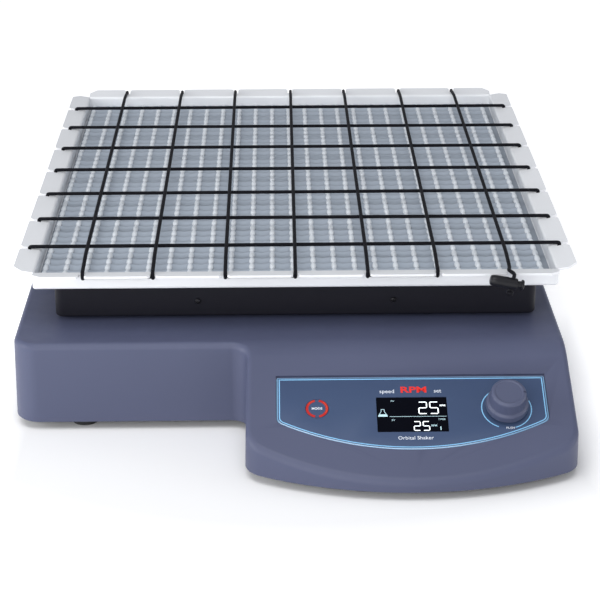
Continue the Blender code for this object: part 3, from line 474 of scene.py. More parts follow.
def rounded(points, steps=10):
    """A closed outline whose corner (x, y, r) is rounded to radius r."""
    out = []
    count = len(points)
    for i, (x, y, r) in enumerate(points):
        if r <= 0:
            out.append((x, y))
            continue
        here = Vector((x, y))
        before = (Vector(points[i - 1][:2]) - here).normalized()
        after = (Vector(points[(i + 1) % count][:2]) - here).normalized()
        half = before.angle(after) / 2
        centre = here + (before + after).normalized() * (r / math.sin(half))
        reach = r / math.tan(half)
        first = here + before * reach - centre
        last = here + after * reach - centre
        turn = first.angle_signed(last)
        for k in range(steps + 1):
            spoke = first.copy()
            spoke.rotate(Matrix.Rotation(-turn * k / steps, 2))
            out.append((centre.x + spoke.x, centre.y + spoke.y))
    return out


def rounded_box(x0, x1, y0, y1, r, steps=8):
    return rounded([(x0, y0, r), (x1, y0, r), (x1, y1, r), (x0, y1, r)], steps)


def normals_of(outline):
    """The outward normal at each point of an outline, and how far a unit offset goes along it."""
    p = np.array(outline, float)
    edge = np.roll(p, -1, 0) - p
    edge /= np.linalg.norm(edge, axis=1)[:, None]
    out = np.stack([edge[:, 1], -edge[:, 0]], 1)
    mid = out + np.roll(out, 1, 0)
    mid /= np.linalg.norm(mid, axis=1)[:, None]
    return mid, 1.0 / np.maximum(0.5, (mid * out).sum(1))


def offset(outline, distance):
    mid, reach = normals_of(outline)
    return [tuple(q) for q in np.array(outline, float) + mid * (reach * distance)[:, None]]


def arc(a0, a1, n):
    return [a0 + (a1 - a0) * k / n for k in range(n + 1)]


def quarter(radius, n):
    """A rounded edge, as pairs: how far in from its upright side and how far below its level side."""
    return [(radius * (1 - math.cos(a)), radius * (1 - math.sin(a))) for a in arc(0.0, math.pi / 2, n)]


# ---- the moulded housing
def housing_outline():
    arc_y = CONSOLE_FRONT + CONSOLE_R
    reach = CONSOLE_MID - CONSOLE_X0
    corner_y = arc_y - math.sqrt(CONSOLE_R**2 - reach**2)
    front = [
        (CONSOLE_MID + CONSOLE_R * math.sin(a), arc_y - CONSOLE_R * math.cos(a), 0)
        for a in arc(math.radians(-25.0), math.radians(25.0), 36)
    ]
    return rounded(
        [(CONSOLE_X0, corner_y, CORNER)]
        + front
        + [
            (HOUSE_X1, corner_y, CORNER), (HOUSE_X1, HOUSE_Y1, CORNER), (HOUSE_X0, HOUSE_Y1, CORNER),
            (HOUSE_X0, HOUSE_Y0, CORNER), (CONSOLE_X0, HOUSE_Y0, INNER_FILLET),
        ],
        14,
    )


def deck_height(y):
    """The height of the deck, its soft roll and the slope, at depth y."""
    t = SLOPE_Y - y
    if t <= -CREASE_ROLL:
        return Z_DECK
    if t >= CREASE_ROLL:
        return Z_DECK - t * math.tan(SLOPE)
    return Z_DECK - (t + CREASE_ROLL) ** 2 * math.tan(SLOPE) / (4 * CREASE_ROLL)


def panel_outline(grow=0.0):
    mid, half = (PANEL_X0 + PANEL_X1) / 2, (PANEL_X1 - PANEL_X0) / 2
    sag = PANEL_SIDE - PANEL_LOW
    r = (half**2 + sag**2) / (2 * sag)
    points = [(PANEL_X0, PANEL_TOP, 1.5), (PANEL_X0, PANEL_SIDE, 7.0)]
    for a in arc(-math.asin(half / r), math.asin(half / r), 40)[1:-1]:
        points.append((mid + r * math.sin(a), PANEL_LOW + r - r * math.cos(a), 0))
    points += [(PANEL_X1, PANEL_SIDE, 7.0), (PANEL_X1, PANEL_TOP, 1.5)]
    return offset(rounded(points, 8), grow)


def shell_mesh():
    """The housing as one closed shell: rolled top edge, drafted walls, open below."""
    bm = bmesh.new()
    above = bm.verts.layers.float.new("above")
    outline = housing_outline()

    def level(inset, z, kind):
        made = ring(bm, offset(outline, -inset), z)
        for v in made:
            v[above] = kind
        return made

    rings = [level(LOW_CHAMFER, Z_HOUSING, 0.0), level(0.0, Z_HOUSING + LOW_CHAMFER, 0.0)]
    rings += [level(into, Z_DECK - below, 1.0) for into, below in quarter(EDGE_ROLL, 7)]
    skin(bm, rings, (False, True))
    inner_top, inner_low = level(WALL, Z_DECK - WALL, 1.0), level(WALL, Z_HOUSING, 0.0)
    loop_faces(bm, inner_top, inner_low)
    loop_faces(bm, inner_low, rings[0])
    bm.faces.new(inner_top[::-1])
    for y in [SLOPE_Y + CREASE_ROLL * share / 8 for share in range(-8, 9)]:
        bmesh.ops.bisect_plane(
            bm, geom=list(bm.verts) + list(bm.edges) + list(bm.faces), dist=1e-4,
            plane_co=(0.0, y, 0.0), plane_no=(0.0, 1.0, 0.0),
        )
    # the draft moves each point out along the outline's normal nearest to it
    base = np.array(outline, float)
    normals, _ = normals_of(outline)
    starts, ends = base, np.roll(base, -1, 0)
    lengths = ((ends - starts) ** 2).sum(1)
    for v in bm.verts:
        drop = Z_DECK - v.co.z
        z = deck_height(v.co.y) - drop if v[above] > 0.5 else v.co.z
        p = np.array(v.co[:2])
        t = np.clip(((p - starts) * (ends - starts)).sum(1) / lengths, 0, 1)
        foot = starts + (ends - starts) * t[:, None]
        k = int(((p - foot) ** 2).sum(1).argmin())
        n = normals[k] * (1 - t[k]) + normals[(k + 1) % len(base)] * t[k]
        n = n / np.linalg.norm(n) * DRAFT * (Z_DECK - z) / (Z_DECK - Z_HOUSING)
        v.co.x += n[0]
        v.co.y += n[1]
        v.co.z = deck_height(v.co.y) - drop if v[above] > 0.5 else z
    return bm


def lcd_outline(grow, r):
    return rounded_box(u - w / 2 - grow, u + w / 2 + grow, v - h / 2 - grow, v + h / 2 + grow, r)


def draw_openings(bm):
    for outline in (lcd_outline(1.5, 0.0), circle(*KNOB_AT, 6.2, 32), circle(*MODE_AT, 9.0, 40)):
        prism(bm, outline, -9, 0.5)


def draw_holes(bm):
    prism(bm, circle(*SHAFT_AT, 11.0, 32), 60, 80)
    for cx, cy in IDLERS:
        prism(bm, circle(cx, cy, 8.5, 24), 60, 80)
    behind(bm, INLET, 14.3, 10.8, -8, 6)
    behind(bm, ROCKER, 10.3, 7.3, -8, 6)


def draw_recess(bm):
    prism(bm, panel_outline(0.3), -RECESS, 9.0)


def draw_shadow_gap(bm):
    box(bm, PANEL_X0 - 0.3, PANEL_X1 + 0.3, PANEL_TOP - 2.0, PANEL_TOP + 1.5, -RECESS, 9.0)


piece(
    "housing_shell", shell_mesh(), housing_plastic, "base", ["top_housing"],
    cuts=[
        tool(draw_recess, ON_SLOPE), tool(draw_shadow_gap, ON_SLOPE), tool(draw_openings, ON_SLOPE),
        tool(draw_holes),
    ],
    bevel=0.3, bevel_angle=55.0, sharp=40.0,
)

# ---- control panel
bm = bmesh.new()
stacked(bm, [(panel_outline(0.0), -RECESS + 0.3), (panel_outline(0.0), FACE - 0.75)], (True, False), 1)
edge = ((0.0, FACE - 0.75), (0.35, FACE - 0.25), (1.0, FACE))
rings = skin(bm, [ring(bm, panel_outline(-into), z) for into, z in edge], (False, False), 1)
bm.faces.new(rings[-1])
# the overlay's sides and bevel carry the painted glint colour
piece(
    "control_panel_face", bm, [overlay_blue, bevel_painted_glint], "base", ["panel_overlay"], ON_SLOPE,
    cuts=[
        tool(lambda m: prism(m, lcd_outline(0.25, 0.6), -4, 2), ON_SLOPE),
        tool(lambda m: prism(m, circle(*KNOB_AT, 5.0, 32), -4, 2), ON_SLOPE),
        tool(lambda m: prism(m, circle(*MODE_AT, 8.3, 64), -4, 2), ON_SLOPE),
    ],
    sharp=25.0, weighted=False,
)

bm = bmesh.new()
glass_side = lcd_outline(0.0, 0.5)
stacked(bm, [(glass_side, -3.9), (glass_side, GLASS - 0.2), (lcd_outline(-0.2, 0.4), GLASS)])
piece("display_glass", bm, lcd_glass, "base", ["display_window"], ON_SLOPE, sharp=25.0)

PRINT = 0.05


def ribbon(bm, outer, inner, z0, z1):
    """A flat closed band between two outlines of one point count."""
    rings = [ring(bm, o, z) for o, z in ((outer, z0), (outer, z1), (inner, z1), (inner, z0))]
    for a, b in zip(rings, rings[1:] + rings[:1]):
        loop_faces(bm, a, b)


def arc_band(bm, at, r0, r1, a0, a1, z0, z1, n=40):
    """A flat band along an arc, from angle a0 to a1 in degrees."""
    angles = arc(math.radians(a0), math.radians(a1), n)
    outline = [(at[0] + r1 * math.cos(a), at[1] + r1 * math.sin(a)) for a in angles]
    outline += [(at[0] + r0 * math.cos(a), at[1] + r0 * math.sin(a)) for a in reversed(angles)]
    prism(bm, outline, z0, z1)


def printed(name, draw, mats, body="base", z=FACE, at=(0.0, 0.0)):
    """A thin printed shape on the slope; draw gets the mesh and its bottom and top height."""
    bm = bmesh.new()
    draw(bm, z - 0.04, z + PRINT)
    return piece(name, bm, mats, body, (), slope_at(*at), sharp=20.0, weighted=False)


printed("border_line", lambda m, a, b: ribbon(m, panel_outline(-1.75), panel_outline(-2.5), a, b), line_blue)


def bands(at, rows, lift=0.0):
    """Draws flat arcs about a point, from (inner radius, outer radius, first angle, last angle)."""

    def draw(m, a, b):
        for row in rows:
            arc_band(m, at, *row, a, b + lift)

    return draw


printed("knob_ring", bands(KNOB_AT, [(17.2, 17.95, 118.0, 247.0), (17.2, 17.95, 286.0, 382.0)]), line_blue)


def lettering(name, text, size, at, mats, z=FACE, body="base", bold=0.0, wide=1.0):
    """Printed words, centred on a point of the slope."""
    curve = bpy.data.curves.new(name, "FONT")
    curve.body = text
    curve.size = size * MM
    curve.align_x, curve.align_y = "CENTER", "CENTER"
    curve.extrude = (PRINT / 2 + 0.02) * MM
    curve.offset = bold * MM
    curve.resolution_u = 3
    source = bpy.data.objects.new(name + "_curve", curve)
    scene.collection.objects.link(source)
    bpy.context.view_layer.update()
    mesh = bpy.data.meshes.new_from_object(source.evaluated_get(bpy.context.evaluated_depsgraph_get()))
    bpy.data.objects.remove(source, do_unlink=True)
    turn = Matrix.Translation((0.0, CY * MM, 0.0)) @ Matrix.Scale(MM, 4) @ slope_at(*at, z + PRINT / 2)
    mesh.transform(turn @ Matrix.Scale(1 / MM, 4) @ Matrix.Diagonal((wide, 1.0, 1.0, 1.0)))
    mesh.name = name
    mesh.materials.clear()
    mesh.materials.append(mats)
    made = bpy.data.objects.new(name, mesh)
    scene.collection.objects.link(made)
    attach(made, body)


lettering("label_speed", "speed", 4.6, (63.6, -44.4), print_white)
lettering("label_rpm", "RPM", 7.4, (82.6, -43.2), print_red, bold=0.2, wide=1.38)
lettering("label_set", "set", 4.6, (99.6, -44.2), print_white)
lettering("label_type", "Orbital Shaker", 4.2, (82.0, -85.6), print_white)
lettering("label_push", "PUSH", 2.6, (148.8, -77.6), print_white)

# ---- the display's figures
SEGMENTS = {"2": "abged", "5": "afgcd"}


def seven_segment(bm, text, x, y, wide, tall, thick, z0, z1, pitch=1.42):
    """Figures from seven bars with pointed ends; x is the left side of the first one, y the foot."""
    for k, figure in enumerate(text):
        left = x + k * wide * pitch
        gap = thick * 0.14
        half = tall / 2
        bars = {
            "a": (0, tall, wide, tall), "g": (0, half, wide, half), "d": (0, 0, wide, 0),
            "f": (0, half, 0, tall), "b": (wide, half, wide, tall),
            "e": (0, 0, 0, half), "c": (wide, 0, wide, half),
        }
        for name in SEGMENTS[figure]:
            x0, y0, x1, y1 = bars[name]
            start, stop = Vector((x0, y0)), Vector((x1, y1))
            way = (stop - start).normalized()
            side = Vector((-way.y, way.x)) * thick / 2
            start += way * gap
            stop -= way * gap
            shape = [start, start + way * thick / 2 - side, stop - way * thick / 2 - side, stop,
                     stop - way * thick / 2 + side, start + way * thick / 2 + side]
            prism(bm, [(left + p.x, y + p.y) for p in shape], z0, z1)


def draw_figures(m, a, b):
    seven_segment(m, "25", u + 4.9, v + 0.6, 5.6, 10.2, 0.82, a, b)
    seven_segment(m, "25", u + 0.8, v - 14.1, 4.4, 7.7, 0.72, a, b, 1.45)


def draw_icons(m, a, b):
    # flask outline, the divider and the small bar at the lower right
    box(m, u - 16.0, u + w / 2 - 0.5, v - 2.0, v - 1.7, a, b)
    x, y = u - 20.7, v - 1.5
    body = [(-3.4, 0.0), (3.4, 0.0), (1.1, 4.2), (1.1, 6.0), (-1.1, 6.0), (-1.1, 4.2)]
    prism(m, [(x + p, y + q) for p, q in [(-3.4, -0.3), (3.4, -0.3), (2.5, 1.7), (-2.5, 1.7)]], a, b)
    for p, q in zip(body[1:], body[2:] + body[:1]):
        if p[1] < 0.5 and q[1] < 0.5:
            continue
        way = (Vector(q) - Vector(p)).normalized()
        side = Vector((-way.y, way.x)) * 0.2
        corners = [Vector(p) - side, Vector(q) - side, Vector(q) + side, Vector(p) + side]
        prism(m, [(x + c.x, y + c.y) for c in corners], a, b)
    box(m, u + 19.1, u + 19.8, v - 13.9, v - 10.8, a, b)


printed("display_figures", draw_figures, digit_white, z=GLASS)
printed("display_icons", draw_icons, digit_dim, z=GLASS)
for name, text, size, at, made, bold in (
    ("display_pv", "PV", 2.2, (u - 13.5, v + 11.7), digit_dim, 0.0),
    ("display_sv", "SV", 2.2, (u - 13.6, v - 5.0), digit_dim, 0.0),
    ("display_rpm_1", "RPM", 2.2, (u + 21.7, v + 7.6), digit_white, 0.03),
    ("display_rpm_2", "RPM", 2.2, (u + 14.9, v - 10.0), digit_dim, 0.03),
    ("display_timer", "TIMER", 1.9, (u + 20.6, v - 4.6), digit_dim, 0.0),
):
    lettering(name, text, size, at, made, GLASS, bold=bold)

# ---- knob and mode key
bm = bmesh.new()
turned(bm, [
    (2.9, -3.0), (2.9, 1.9), (14.3, 1.9), (14.8, 2.2), (15.0, 2.8), (15.0, 6.2), (14.9, 6.9), (14.6, 7.4),
    (14.1, 7.8), (13.6, 8.1), (13.25, 8.5), (13.0, 9.2), (12.75, 13.0), (12.5, 16.4), (12.4, 17.0),
    (12.1, 17.6), (11.6, 18.1), (10.9, 18.45), (10.2, 18.55), (9.6, 18.4), (9.2, 18.1),
], n=96)
piece(
    "control_knob_cap", bm, knob_plastic, "control_knob", ["knob"], slope_at(*KNOB_AT),
    cuts=[tool(lambda m: box(m, 10.2, 14.0, -0.5, 0.5, 17.2, 20.0), slope_at(*KNOB_AT))], sharp=30.0,
)

bm = bmesh.new()
turned(bm, [(3.0, -5.6), (3.0, -2.4), (8.0, -2.2), (8.0, -0.4), (7.96, -0.25), (7.9, -0.2)], n=72)
piece("mode_key_cap", bm, overlay_blue, "mode_key", ["mode_button"], slope_at(*MODE_AT), sharp=30.0)

# the ring is red print; the orange arcs laid over it are painted glints
for name, rows, made, lift in (
    ("mode_ring", [(6.1, 7.95, 101.0, 259.0), (6.1, 7.95, -79.0, 79.0)], print_deep_red, 0.0),
    ("mode_ring_glint", [(6.9, 7.2, 108.0, 150.0), (6.9, 7.3, -34.0, 52.0)], painted_glint_orange, 0.02),
):
    printed(name, bands((0, 0), rows, lift), made, "mode_key", z=KEY_FACE, at=MODE_AT)
lettering("label_mode", "MODE", 2.7, MODE_AT, print_white, KEY_FACE, "mode_key", bold=0.04)

# ---- platform sub-frame
def pan_level(grow, z, r):
    x, y = PAN_W / 2 + grow, PAN_D / 2 + grow
    return rounded_box(-x, x, -y, y, max(0.4, r + grow), 10), z


bm = bmesh.new()
levels = [pan_level(-PAN_LIP, z, PAN_LIP + 0.4) for z in (PAN_Z0 + PAN_SHEET, PAN_Z0)]
levels += [pan_level(-below, PAN_Z0 + into, PAN_R) for into, below in quarter(PAN_ROLL, 5)]
levels += [pan_level(-into, PAN_Z1 - below, PAN_R) for into, below in quarter(PAN_ROLL, 5)]
rings = stacked(bm, levels, (False, True))
inner = [ring(bm, *pan_level(-PAN_SHEET, z, PAN_R)) for z in (PAN_Z1 - PAN_SHEET, PAN_Z0 + PAN_SHEET)]
bm.faces.new(inner[0][::-1])
loop_faces(bm, inner[0], inner[1])
loop_faces(bm, inner[1], rings[0])


def draw_pan_holes(m):
    for cx, cy in TRAY_SCREWS:
        prism(m, circle(cx, cy, 2.5, 16), PAN_Z1 - 6, PAN_Z1 + 4)


def draw_skirt_holes(m):
    for cx in (-SKIRT_X, SKIRT_X):
        for wall in (PAN_D / 2, -PAN_D / 2):
            prism(m, circle(cx, 0, 1.5, 16), wall - 6, wall + 6)


piece(
    "subframe_pan", bm, black_paint, "platform", ["platform_subframe"], sharp=35.0,
    cuts=[
        tool(draw_pan_holes),
        tool(draw_skirt_holes, Matrix.Translation((0, 0, SKIRT_Z)) @ about_x(-90)),
    ],
)

for n, (sx, side) in enumerate(CORNERS, 1):
    bm = bmesh.new()
    head = [(2.0, 0.3), (2.1, 0.4), (2.1, 0.7), (1.95, 1.1), (1.6, 1.4), (1.1, 1.5)]
    turned(bm, [(1.2, -7.0), (1.2, 0.3)] + head, n=24)
    turn = Matrix.Translation((sx * SKIRT_X, side * PAN_D / 2, SKIRT_Z)) @ about_x(-90 * side)
    piece(f"skirt_bolt_{n}", bm, screw_black, "platform", [f"skirt_screw_{n}"], turn,
          cuts=[tool(lambda m: prism(m, circle(0, 0, 0.7, 6), 0.6, 4.0), turn)], sharp=30.0)

# ---- tray
def segment_ends(half, pitch):
    cuts = [pitch * (k - RUNS // 2) for k in range(RUNS)]
    ends = [-half] + [c + s * NOTCH_W / 2 for c in cuts for s in (-1, 1)] + [half]
    return list(zip(ends[0::2], ends[1::2]))


def flange_outline(half_w, half_d, reach):
    """The flange from above: open corners, notches and chamfered segments."""
    sides = []
    for length, out, pitch in ((half_w, half_d, PITCH_X), (half_d, half_w, PITCH_Y)) * 2:
        run = [(-length + 1.0, out - 1.0)]
        spans = segment_ends(length - 1.0, pitch)
        for i, (a, b) in enumerate(spans):
            lead = END_CHAMFER if i == 0 else CHAMFER
            tail = END_CHAMFER if i == len(spans) - 1 else CHAMFER
            far = out + reach
            run.append((a, far - NOTCH_L) if i > 0 else (a, out + 1.0))
            run += [(a, far - lead), (a + lead, far), (b - tail, far), (b, far - tail)]
            run.append((b, far - NOTCH_L) if i < len(spans) - 1 else (b, out + 1.0))
        sides.append(run)
    outline = []
    for k, run in enumerate(sides):
        a = math.radians(90 * k)
        for along, out in run:
            x, y = along, -out
            outline.append((x * math.cos(a) - y * math.sin(a), x * math.sin(a) + y * math.cos(a)))
    return outline


def tray_level(grow, z, r=2.2):
    x, y = TRAY_W / 2 + grow, TRAY_D / 2 + grow
    return rounded_box(-x, x, -y, y, max(0.3, r + grow), 6), z


bm = bmesh.new()
BEND, TIGHT = 2.2, 1.5                        # the outer and the inner radius of the folds
RISE = FLANGE * FLANGE_TILT
levels = [tray_level(-below, TRAY_Z0 + into) for into, below in quarter(BEND, 5)]
levels += [tray_level(into, FLANGE_TOP - SHEET - below) for into, below in quarter(TIGHT, 5)]
levels += [tray_level(FLANGE, FLANGE_TOP - SHEET + RISE), tray_level(FLANGE, FLANGE_TOP + RISE)]
levels += [tray_level(-SHEET + below, FLANGE_TOP - into) for into, below in quarter(BEND, 7)]
levels += [tray_level(-SHEET - into, TRAY_Z0 + SHEET + below) for into, below in quarter(TIGHT, 4)]
stacked(bm, levels)
from_above = flange_outline(TRAY_W / 2, TRAY_D / 2, FLANGE)
piece(
    "tray_pressing", bm, white_paint, "platform", ["tray"],
    trims=[tool(lambda m: prism(m, from_above, TRAY_Z0 - 5, FLANGE_TOP + 8))],
    bevel=0.4, bevel_angle=55.0, sharp=35.0,
)

# ---- mat
ROWS, COUNT_Y = 25, 38                        # rows of nubs, and nubs in a row
MAT_W, MAT_D = (mat_high.x - mat_low.x) / 2, (mat_high.y - mat_low.y) / 2
FIRST_X, STEP_X = -187.0, 15.43
LAST_X = FIRST_X + STEP_X * (ROWS - 1)
STEP_Y = 2 * MAT_D / COUNT_Y
MAT_Z0, MAT_Z1 = mat_low.z, mat_high.z
BASE_Z = MAT_Z1 - 1.5
SCALLOP, BOW = 1.45, 0.30                     # the ribs' height, and how far they hang between two rows
NUB_RINGS, NUB_SIDES = 4, 12
NUB_LONG, NUB_WIDE, NUB_TAPER, NUB_DOME = 6.3, 2.15, 0.34, 0.86


def mat_height(x, y):
    """The ribbed web between the rows of nubs: soft scallops that hang between the rows."""
    if x < FIRST_X - 2.6 or x > LAST_X + 3.4:
        return BASE_Z - 3.0
    across = ((x - FIRST_X) / STEP_X + 0.5) % 1.0          # nubs stand at the middle, 0.5
    away = min(1.0, abs(across - 0.5) / 0.5)
    bow = BOW * (1 - away) ** 2
    along = ((y + MAT_D) / STEP_Y - bow) % 1.0
    scale = along ** 0.9 * (1 - along) ** 0.25 * 1.45
    return BASE_Z - 1.5 + SCALLOP * scale


bm = bmesh.new()
nx, ny = ROWS * 8, COUNT_Y * 7
grid = []
for j in range(ny + 1):
    y = -MAT_D + 2 * MAT_D * j / ny
    row = []
    for i in range(nx + 1):
        x = -MAT_W + 2 * MAT_W * i / nx
        row.append(bm.verts.new((x, y, mat_height(x, y + 1e-4))))
    grid.append(row)
for j in range(ny):
    for i in range(nx):
        bm.faces.new((grid[j][i], grid[j][i + 1], grid[j + 1][i + 1], grid[j + 1][i]))
edge = grid[0][:-1] + [r[-1] for r in grid][:-1] + grid[-1][:0:-1] + [r[0] for r in grid][:0:-1]
foot = [bm.verts.new((p.co.x, p.co.y, MAT_Z0)) for p in edge]
loop_faces(bm, foot, edge)
bm.faces.new(foot[::-1])
piece("mat_web", bm, mat_body, "platform", ["mat"], sharp=60.0, weighted=False)

# nubs: upright drops, wide at the front foot and drawn up to a narrow back
bm = bmesh.new()
top = math.sin(math.pi / 2 * NUB_DOME)
for i in range(ROWS):
    cx = FIRST_X + STEP_X * i
    for j in range(COUNT_Y):
        cy = -MAT_D + STEP_Y * (j + 0.5)
        rings = []
        for k in range(NUB_RINGS + 1):
            a = math.pi / 2 * k / NUB_RINGS * NUB_DOME
            share, z = math.cos(a), BASE_Z - 0.6 + (MAT_Z1 - BASE_Z + 0.6) * math.sin(a) / top
            loop = []
            for t in range(NUB_SIDES):
                b = math.tau * t / NUB_SIDES
                half = NUB_WIDE * (1.0 - NUB_TAPER * math.sin(b))
                loop.append((cx + half * share * math.cos(b), cy + NUB_LONG * share * math.sin(b) + 0.25))
            rings.append(ring(bm, loop, z))
        skin(bm, rings)
bmesh.ops.recalc_face_normals(bm, faces=bm.faces)
piece("mat_nubs", bm, mat_nub, "platform", (), sharp=60.0, weighted=False)

# ---- elastic cords
ROOT_RISE = (FLANGE - NOTCH_L) * FLANGE_TILT
TOP_Z = FLANGE_TOP + ROOT_RISE + R + 0.3
HOOK_Z = FLANGE_TOP + ROOT_RISE - SHEET - R
UNDER_Z = FLANGE_TOP - SHEET - R - 0.05


def laced(half_along, out, pitch, crossing_z, first_pair_low):
    """The serpentine over seven runs, down through the notches and across below the flange."""
    at = out - NOTCH_L + R + 0.45
    under = half_along + R + 0.4
    lean = NOTCH_W / 2 - R - 0.35
    path = []
    going_low = first_pair_low
    for i in range(RUNS):
        middle = pitch * (i - RUNS // 2)
        low_lean = lean if (i % 2 == 0) == first_pair_low else -lean
        ends = {-1: middle + low_lean, 1: middle - low_lean}
        start, stop = (1, -1) if going_low else (-1, 1)
        x0, x1 = ends[start], ends[stop]
        path += [
            (x0, start * under, UNDER_Z), (x0, start * at, HOOK_Z), (x0, start * at, TOP_Z),
            (x0, start * (half_along + 3.0), TOP_Z),
            (x0 * 0.94 + x1 * 0.06, start * (half_along - 22.0), crossing_z),
            (x0 * 0.06 + x1 * 0.94, stop * (half_along - 22.0), crossing_z),
            (x1, stop * (half_along + 3.0), TOP_Z), (x1, stop * at, TOP_Z),
            (x1, stop * at, HOOK_Z), (x1, stop * under, UNDER_Z),
        ]
        going_low = not going_low
    return path[1:-1]


def smooth_corners(path, reach=1.7, steps=5):
    out = [Vector(path[0])]
    for a, b, c in zip(path, path[1:], path[2:]):
        a, b, c = Vector(a), Vector(b), Vector(c)
        turn = (b - a).angle(c - b)
        if turn < math.radians(0.4):
            out.append(b)
            continue
        size = reach if turn > math.radians(50) else 6.0
        k1, k2 = min(size, (b - a).length / 2.1), min(size, (c - b).length / 2.1)
        first, last = b + (a - b).normalized() * k1, b + (c - b).normalized() * k2
        for k in range(steps + 1):
            t = k / steps
            out.append(first * (1 - t) ** 2 + b * 2 * t * (1 - t) + last * t**2)
    out.append(Vector(path[-1]))
    return out


def sweep(bm, path, r, n=14):
    """A round cord along (point, radius share), with how far along and round it each corner lies."""
    lay = bm.loops.layers.float_vector.new("lay")
    points = [Vector(p[:3]) for p in path]
    shares = [p[3] if len(p) > 3 else 1.0 for p in path]
    far, rings, side = [0.0], [], None
    for a, b in zip(points, points[1:]):
        far.append(far[-1] + (b - a).length)
    for i, here in enumerate(points):
        before, after = points[max(0, i - 1)], points[min(len(points) - 1, i + 1)]
        along = ((after - here).normalized() + (here - before).normalized()).normalized()
        if side is None:
            side = along.orthogonal().normalized()
        side = (side - along * side.dot(along)).normalized()
        other = along.cross(side)
        rings.append([
            bm.verts.new(here + (side * math.cos(a) + other * math.sin(a)) * r * shares[i])
            for a in (math.tau * k / n for k in range(n))
        ])
    for i, (a, b) in enumerate(zip(rings, rings[1:])):
        for k in range(n):
            m = (k + 1) % n
            face = bm.faces.new((a[k], a[m], b[m], b[k]))
            for corner, (x, y) in zip(face.loops, ((i, k), (i, k + 1), (i + 1, k + 1), (i + 1, k))):
                corner[lay] = (far[x], y * 6.0 / n, 0.0)
    bm.faces.new(rings[0][::-1])
    bm.faces.new(rings[-1])


def knotted(path):
    """The path with a drawn knot at either end."""
    path = [(*p, 1.0) for p in path]

    def knot(end, before):
        way = (Vector(end[:3]) - Vector(before[:3])).normalized()
        beads = ((0.6, 1.0), (0.9, 1.6), (1.4, 1.9), (2.1, 1.75),
                 (2.7, 1.9), (3.4, 1.7), (3.8, 1.2), (4.2, 0.9))
        return [(*(Vector(end[:3]) + way * go), share) for go, share in beads]

    return knot(path[0], path[1])[::-1] + path + knot(path[-1], path[-2])


cross = smooth_corners(laced(TRAY_W / 2, TRAY_W / 2 + FLANGE, PITCH_Y, TOP_Z, False))
bm = bmesh.new()
sweep(bm, knotted([(y, x, z) for x, y, z in cross]), R)
piece("cord_crosswise", bm, cord_sheath, "platform", ["elastic_cord_crosswise"], sharp=60.0,
      weighted=False)

LOCK, LOCK_LEAN = (156.6, -243.0, 110.6), math.radians(11.0)
AT_LOCK = Matrix.Translation(LOCK) @ Matrix.Rotation(LOCK_LEAN, 4, "Y")
lock_up = Vector((math.sin(LOCK_LEAN), 0.0, math.cos(LOCK_LEAN)))
long_out = TRAY_D / 2 + FLANGE
length = laced(TRAY_D / 2, long_out, PITCH_X, TOP_Z + CORD + 0.35, True)[:-2]
edge_x = length[-1][0] - 1.6
length += [
    (edge_x, -long_out + 3.5, TOP_Z + 1.2), (edge_x, -long_out - 1.0, TOP_Z + 2.4),
    tuple(Vector(LOCK) + lock_up * 7.6), tuple(Vector(LOCK) - lock_up * 5.2),
]
bm = bmesh.new()
sweep(bm, knotted(smooth_corners(length)), R)
piece("cord_lengthwise", bm, cord_sheath, "platform", ["elastic_cord_lengthwise"], sharp=60.0,
      weighted=False)


def bar(bm, radii):
    """A turned piece along local x, radii as (radius, x) pairs."""
    skin(bm, [[bm.verts.new((x, y, z)) for y, z in circle(0, 0, r, 40)] for r, x in radii])


bm = bmesh.new()
bar(bm, [(2.2, -16.5), (2.9, -16.3), (3.5, -15.8), (3.9, -14.8), (4.15, -13.2), (4.2, -12.0), (4.2, 2.7),
         (4.1, 3.2), (3.85, 3.5)])
piece(
    "cord_lock_barrel", bm, black_plastic, "platform", ["cord_lock_body"], AT_LOCK,
    cuts=[
        tool(lambda m: bar(m, [(3.1, -11.0), (3.1, 6.0)]), AT_LOCK),
        tool(lambda m: turned(m, [(1.75, -8.0), (1.75, 8.0)], n=24), AT_LOCK),
    ],
    bevel=0.15, sharp=35.0,
)
bm = bmesh.new()
bar(bm, [(2.75, -6.6), (2.75, 6.6), (3.7, 6.75), (3.9, 7.0), (3.9, 7.8), (3.75, 8.2), (3.4, 8.4)])
piece("cord_lock_plunger", bm, black_plastic, "lock_button", ["cord_lock_button"], AT_LOCK,
      cuts=[tool(lambda m: box(m, -1.75, 4.9, -1.72, 1.72, -5.0, 5.0), AT_LOCK)], bevel=0.12, sharp=35.0)

# ---- feet
for n in range(1, 6):
    low, high = mm_box(f"foot_{n}")
    cx, cy = (low.x + high.x) / 2, (low.y + high.y) / 2 - CY
    bm = bmesh.new()
    turned(bm, [(5.2, 1.6), (5.6, 0.4), (6.2, 0.0), (9.3, 0.0), (9.9, 0.2), (10.3, 0.8), (10.9, 2.6),
                (11.7, 5.6), (12.0, high.z)], cx, cy, 48)
    piece(f"foot_pad_{n}", bm, foot_rubber, "base", [f"foot_{n}"], sharp=35.0)

# ---- rear connectors
def flat_plate(bm, at, half_w, half_h, y0, y1, r):
    """A plate in the rear wall's plane, with softened outer edges."""
    outline = rounded_box(at[0] - half_w, at[0] + half_w, at[1] - half_h, at[1] + half_h, r, 6)
    inner = offset(outline, -0.5)
    levels = ((outline, y0), (outline, y1 - 0.5), (inner, y1))
    skin(bm, [[bm.verts.new((x, y, z)) for x, z in o] for o, y in levels])


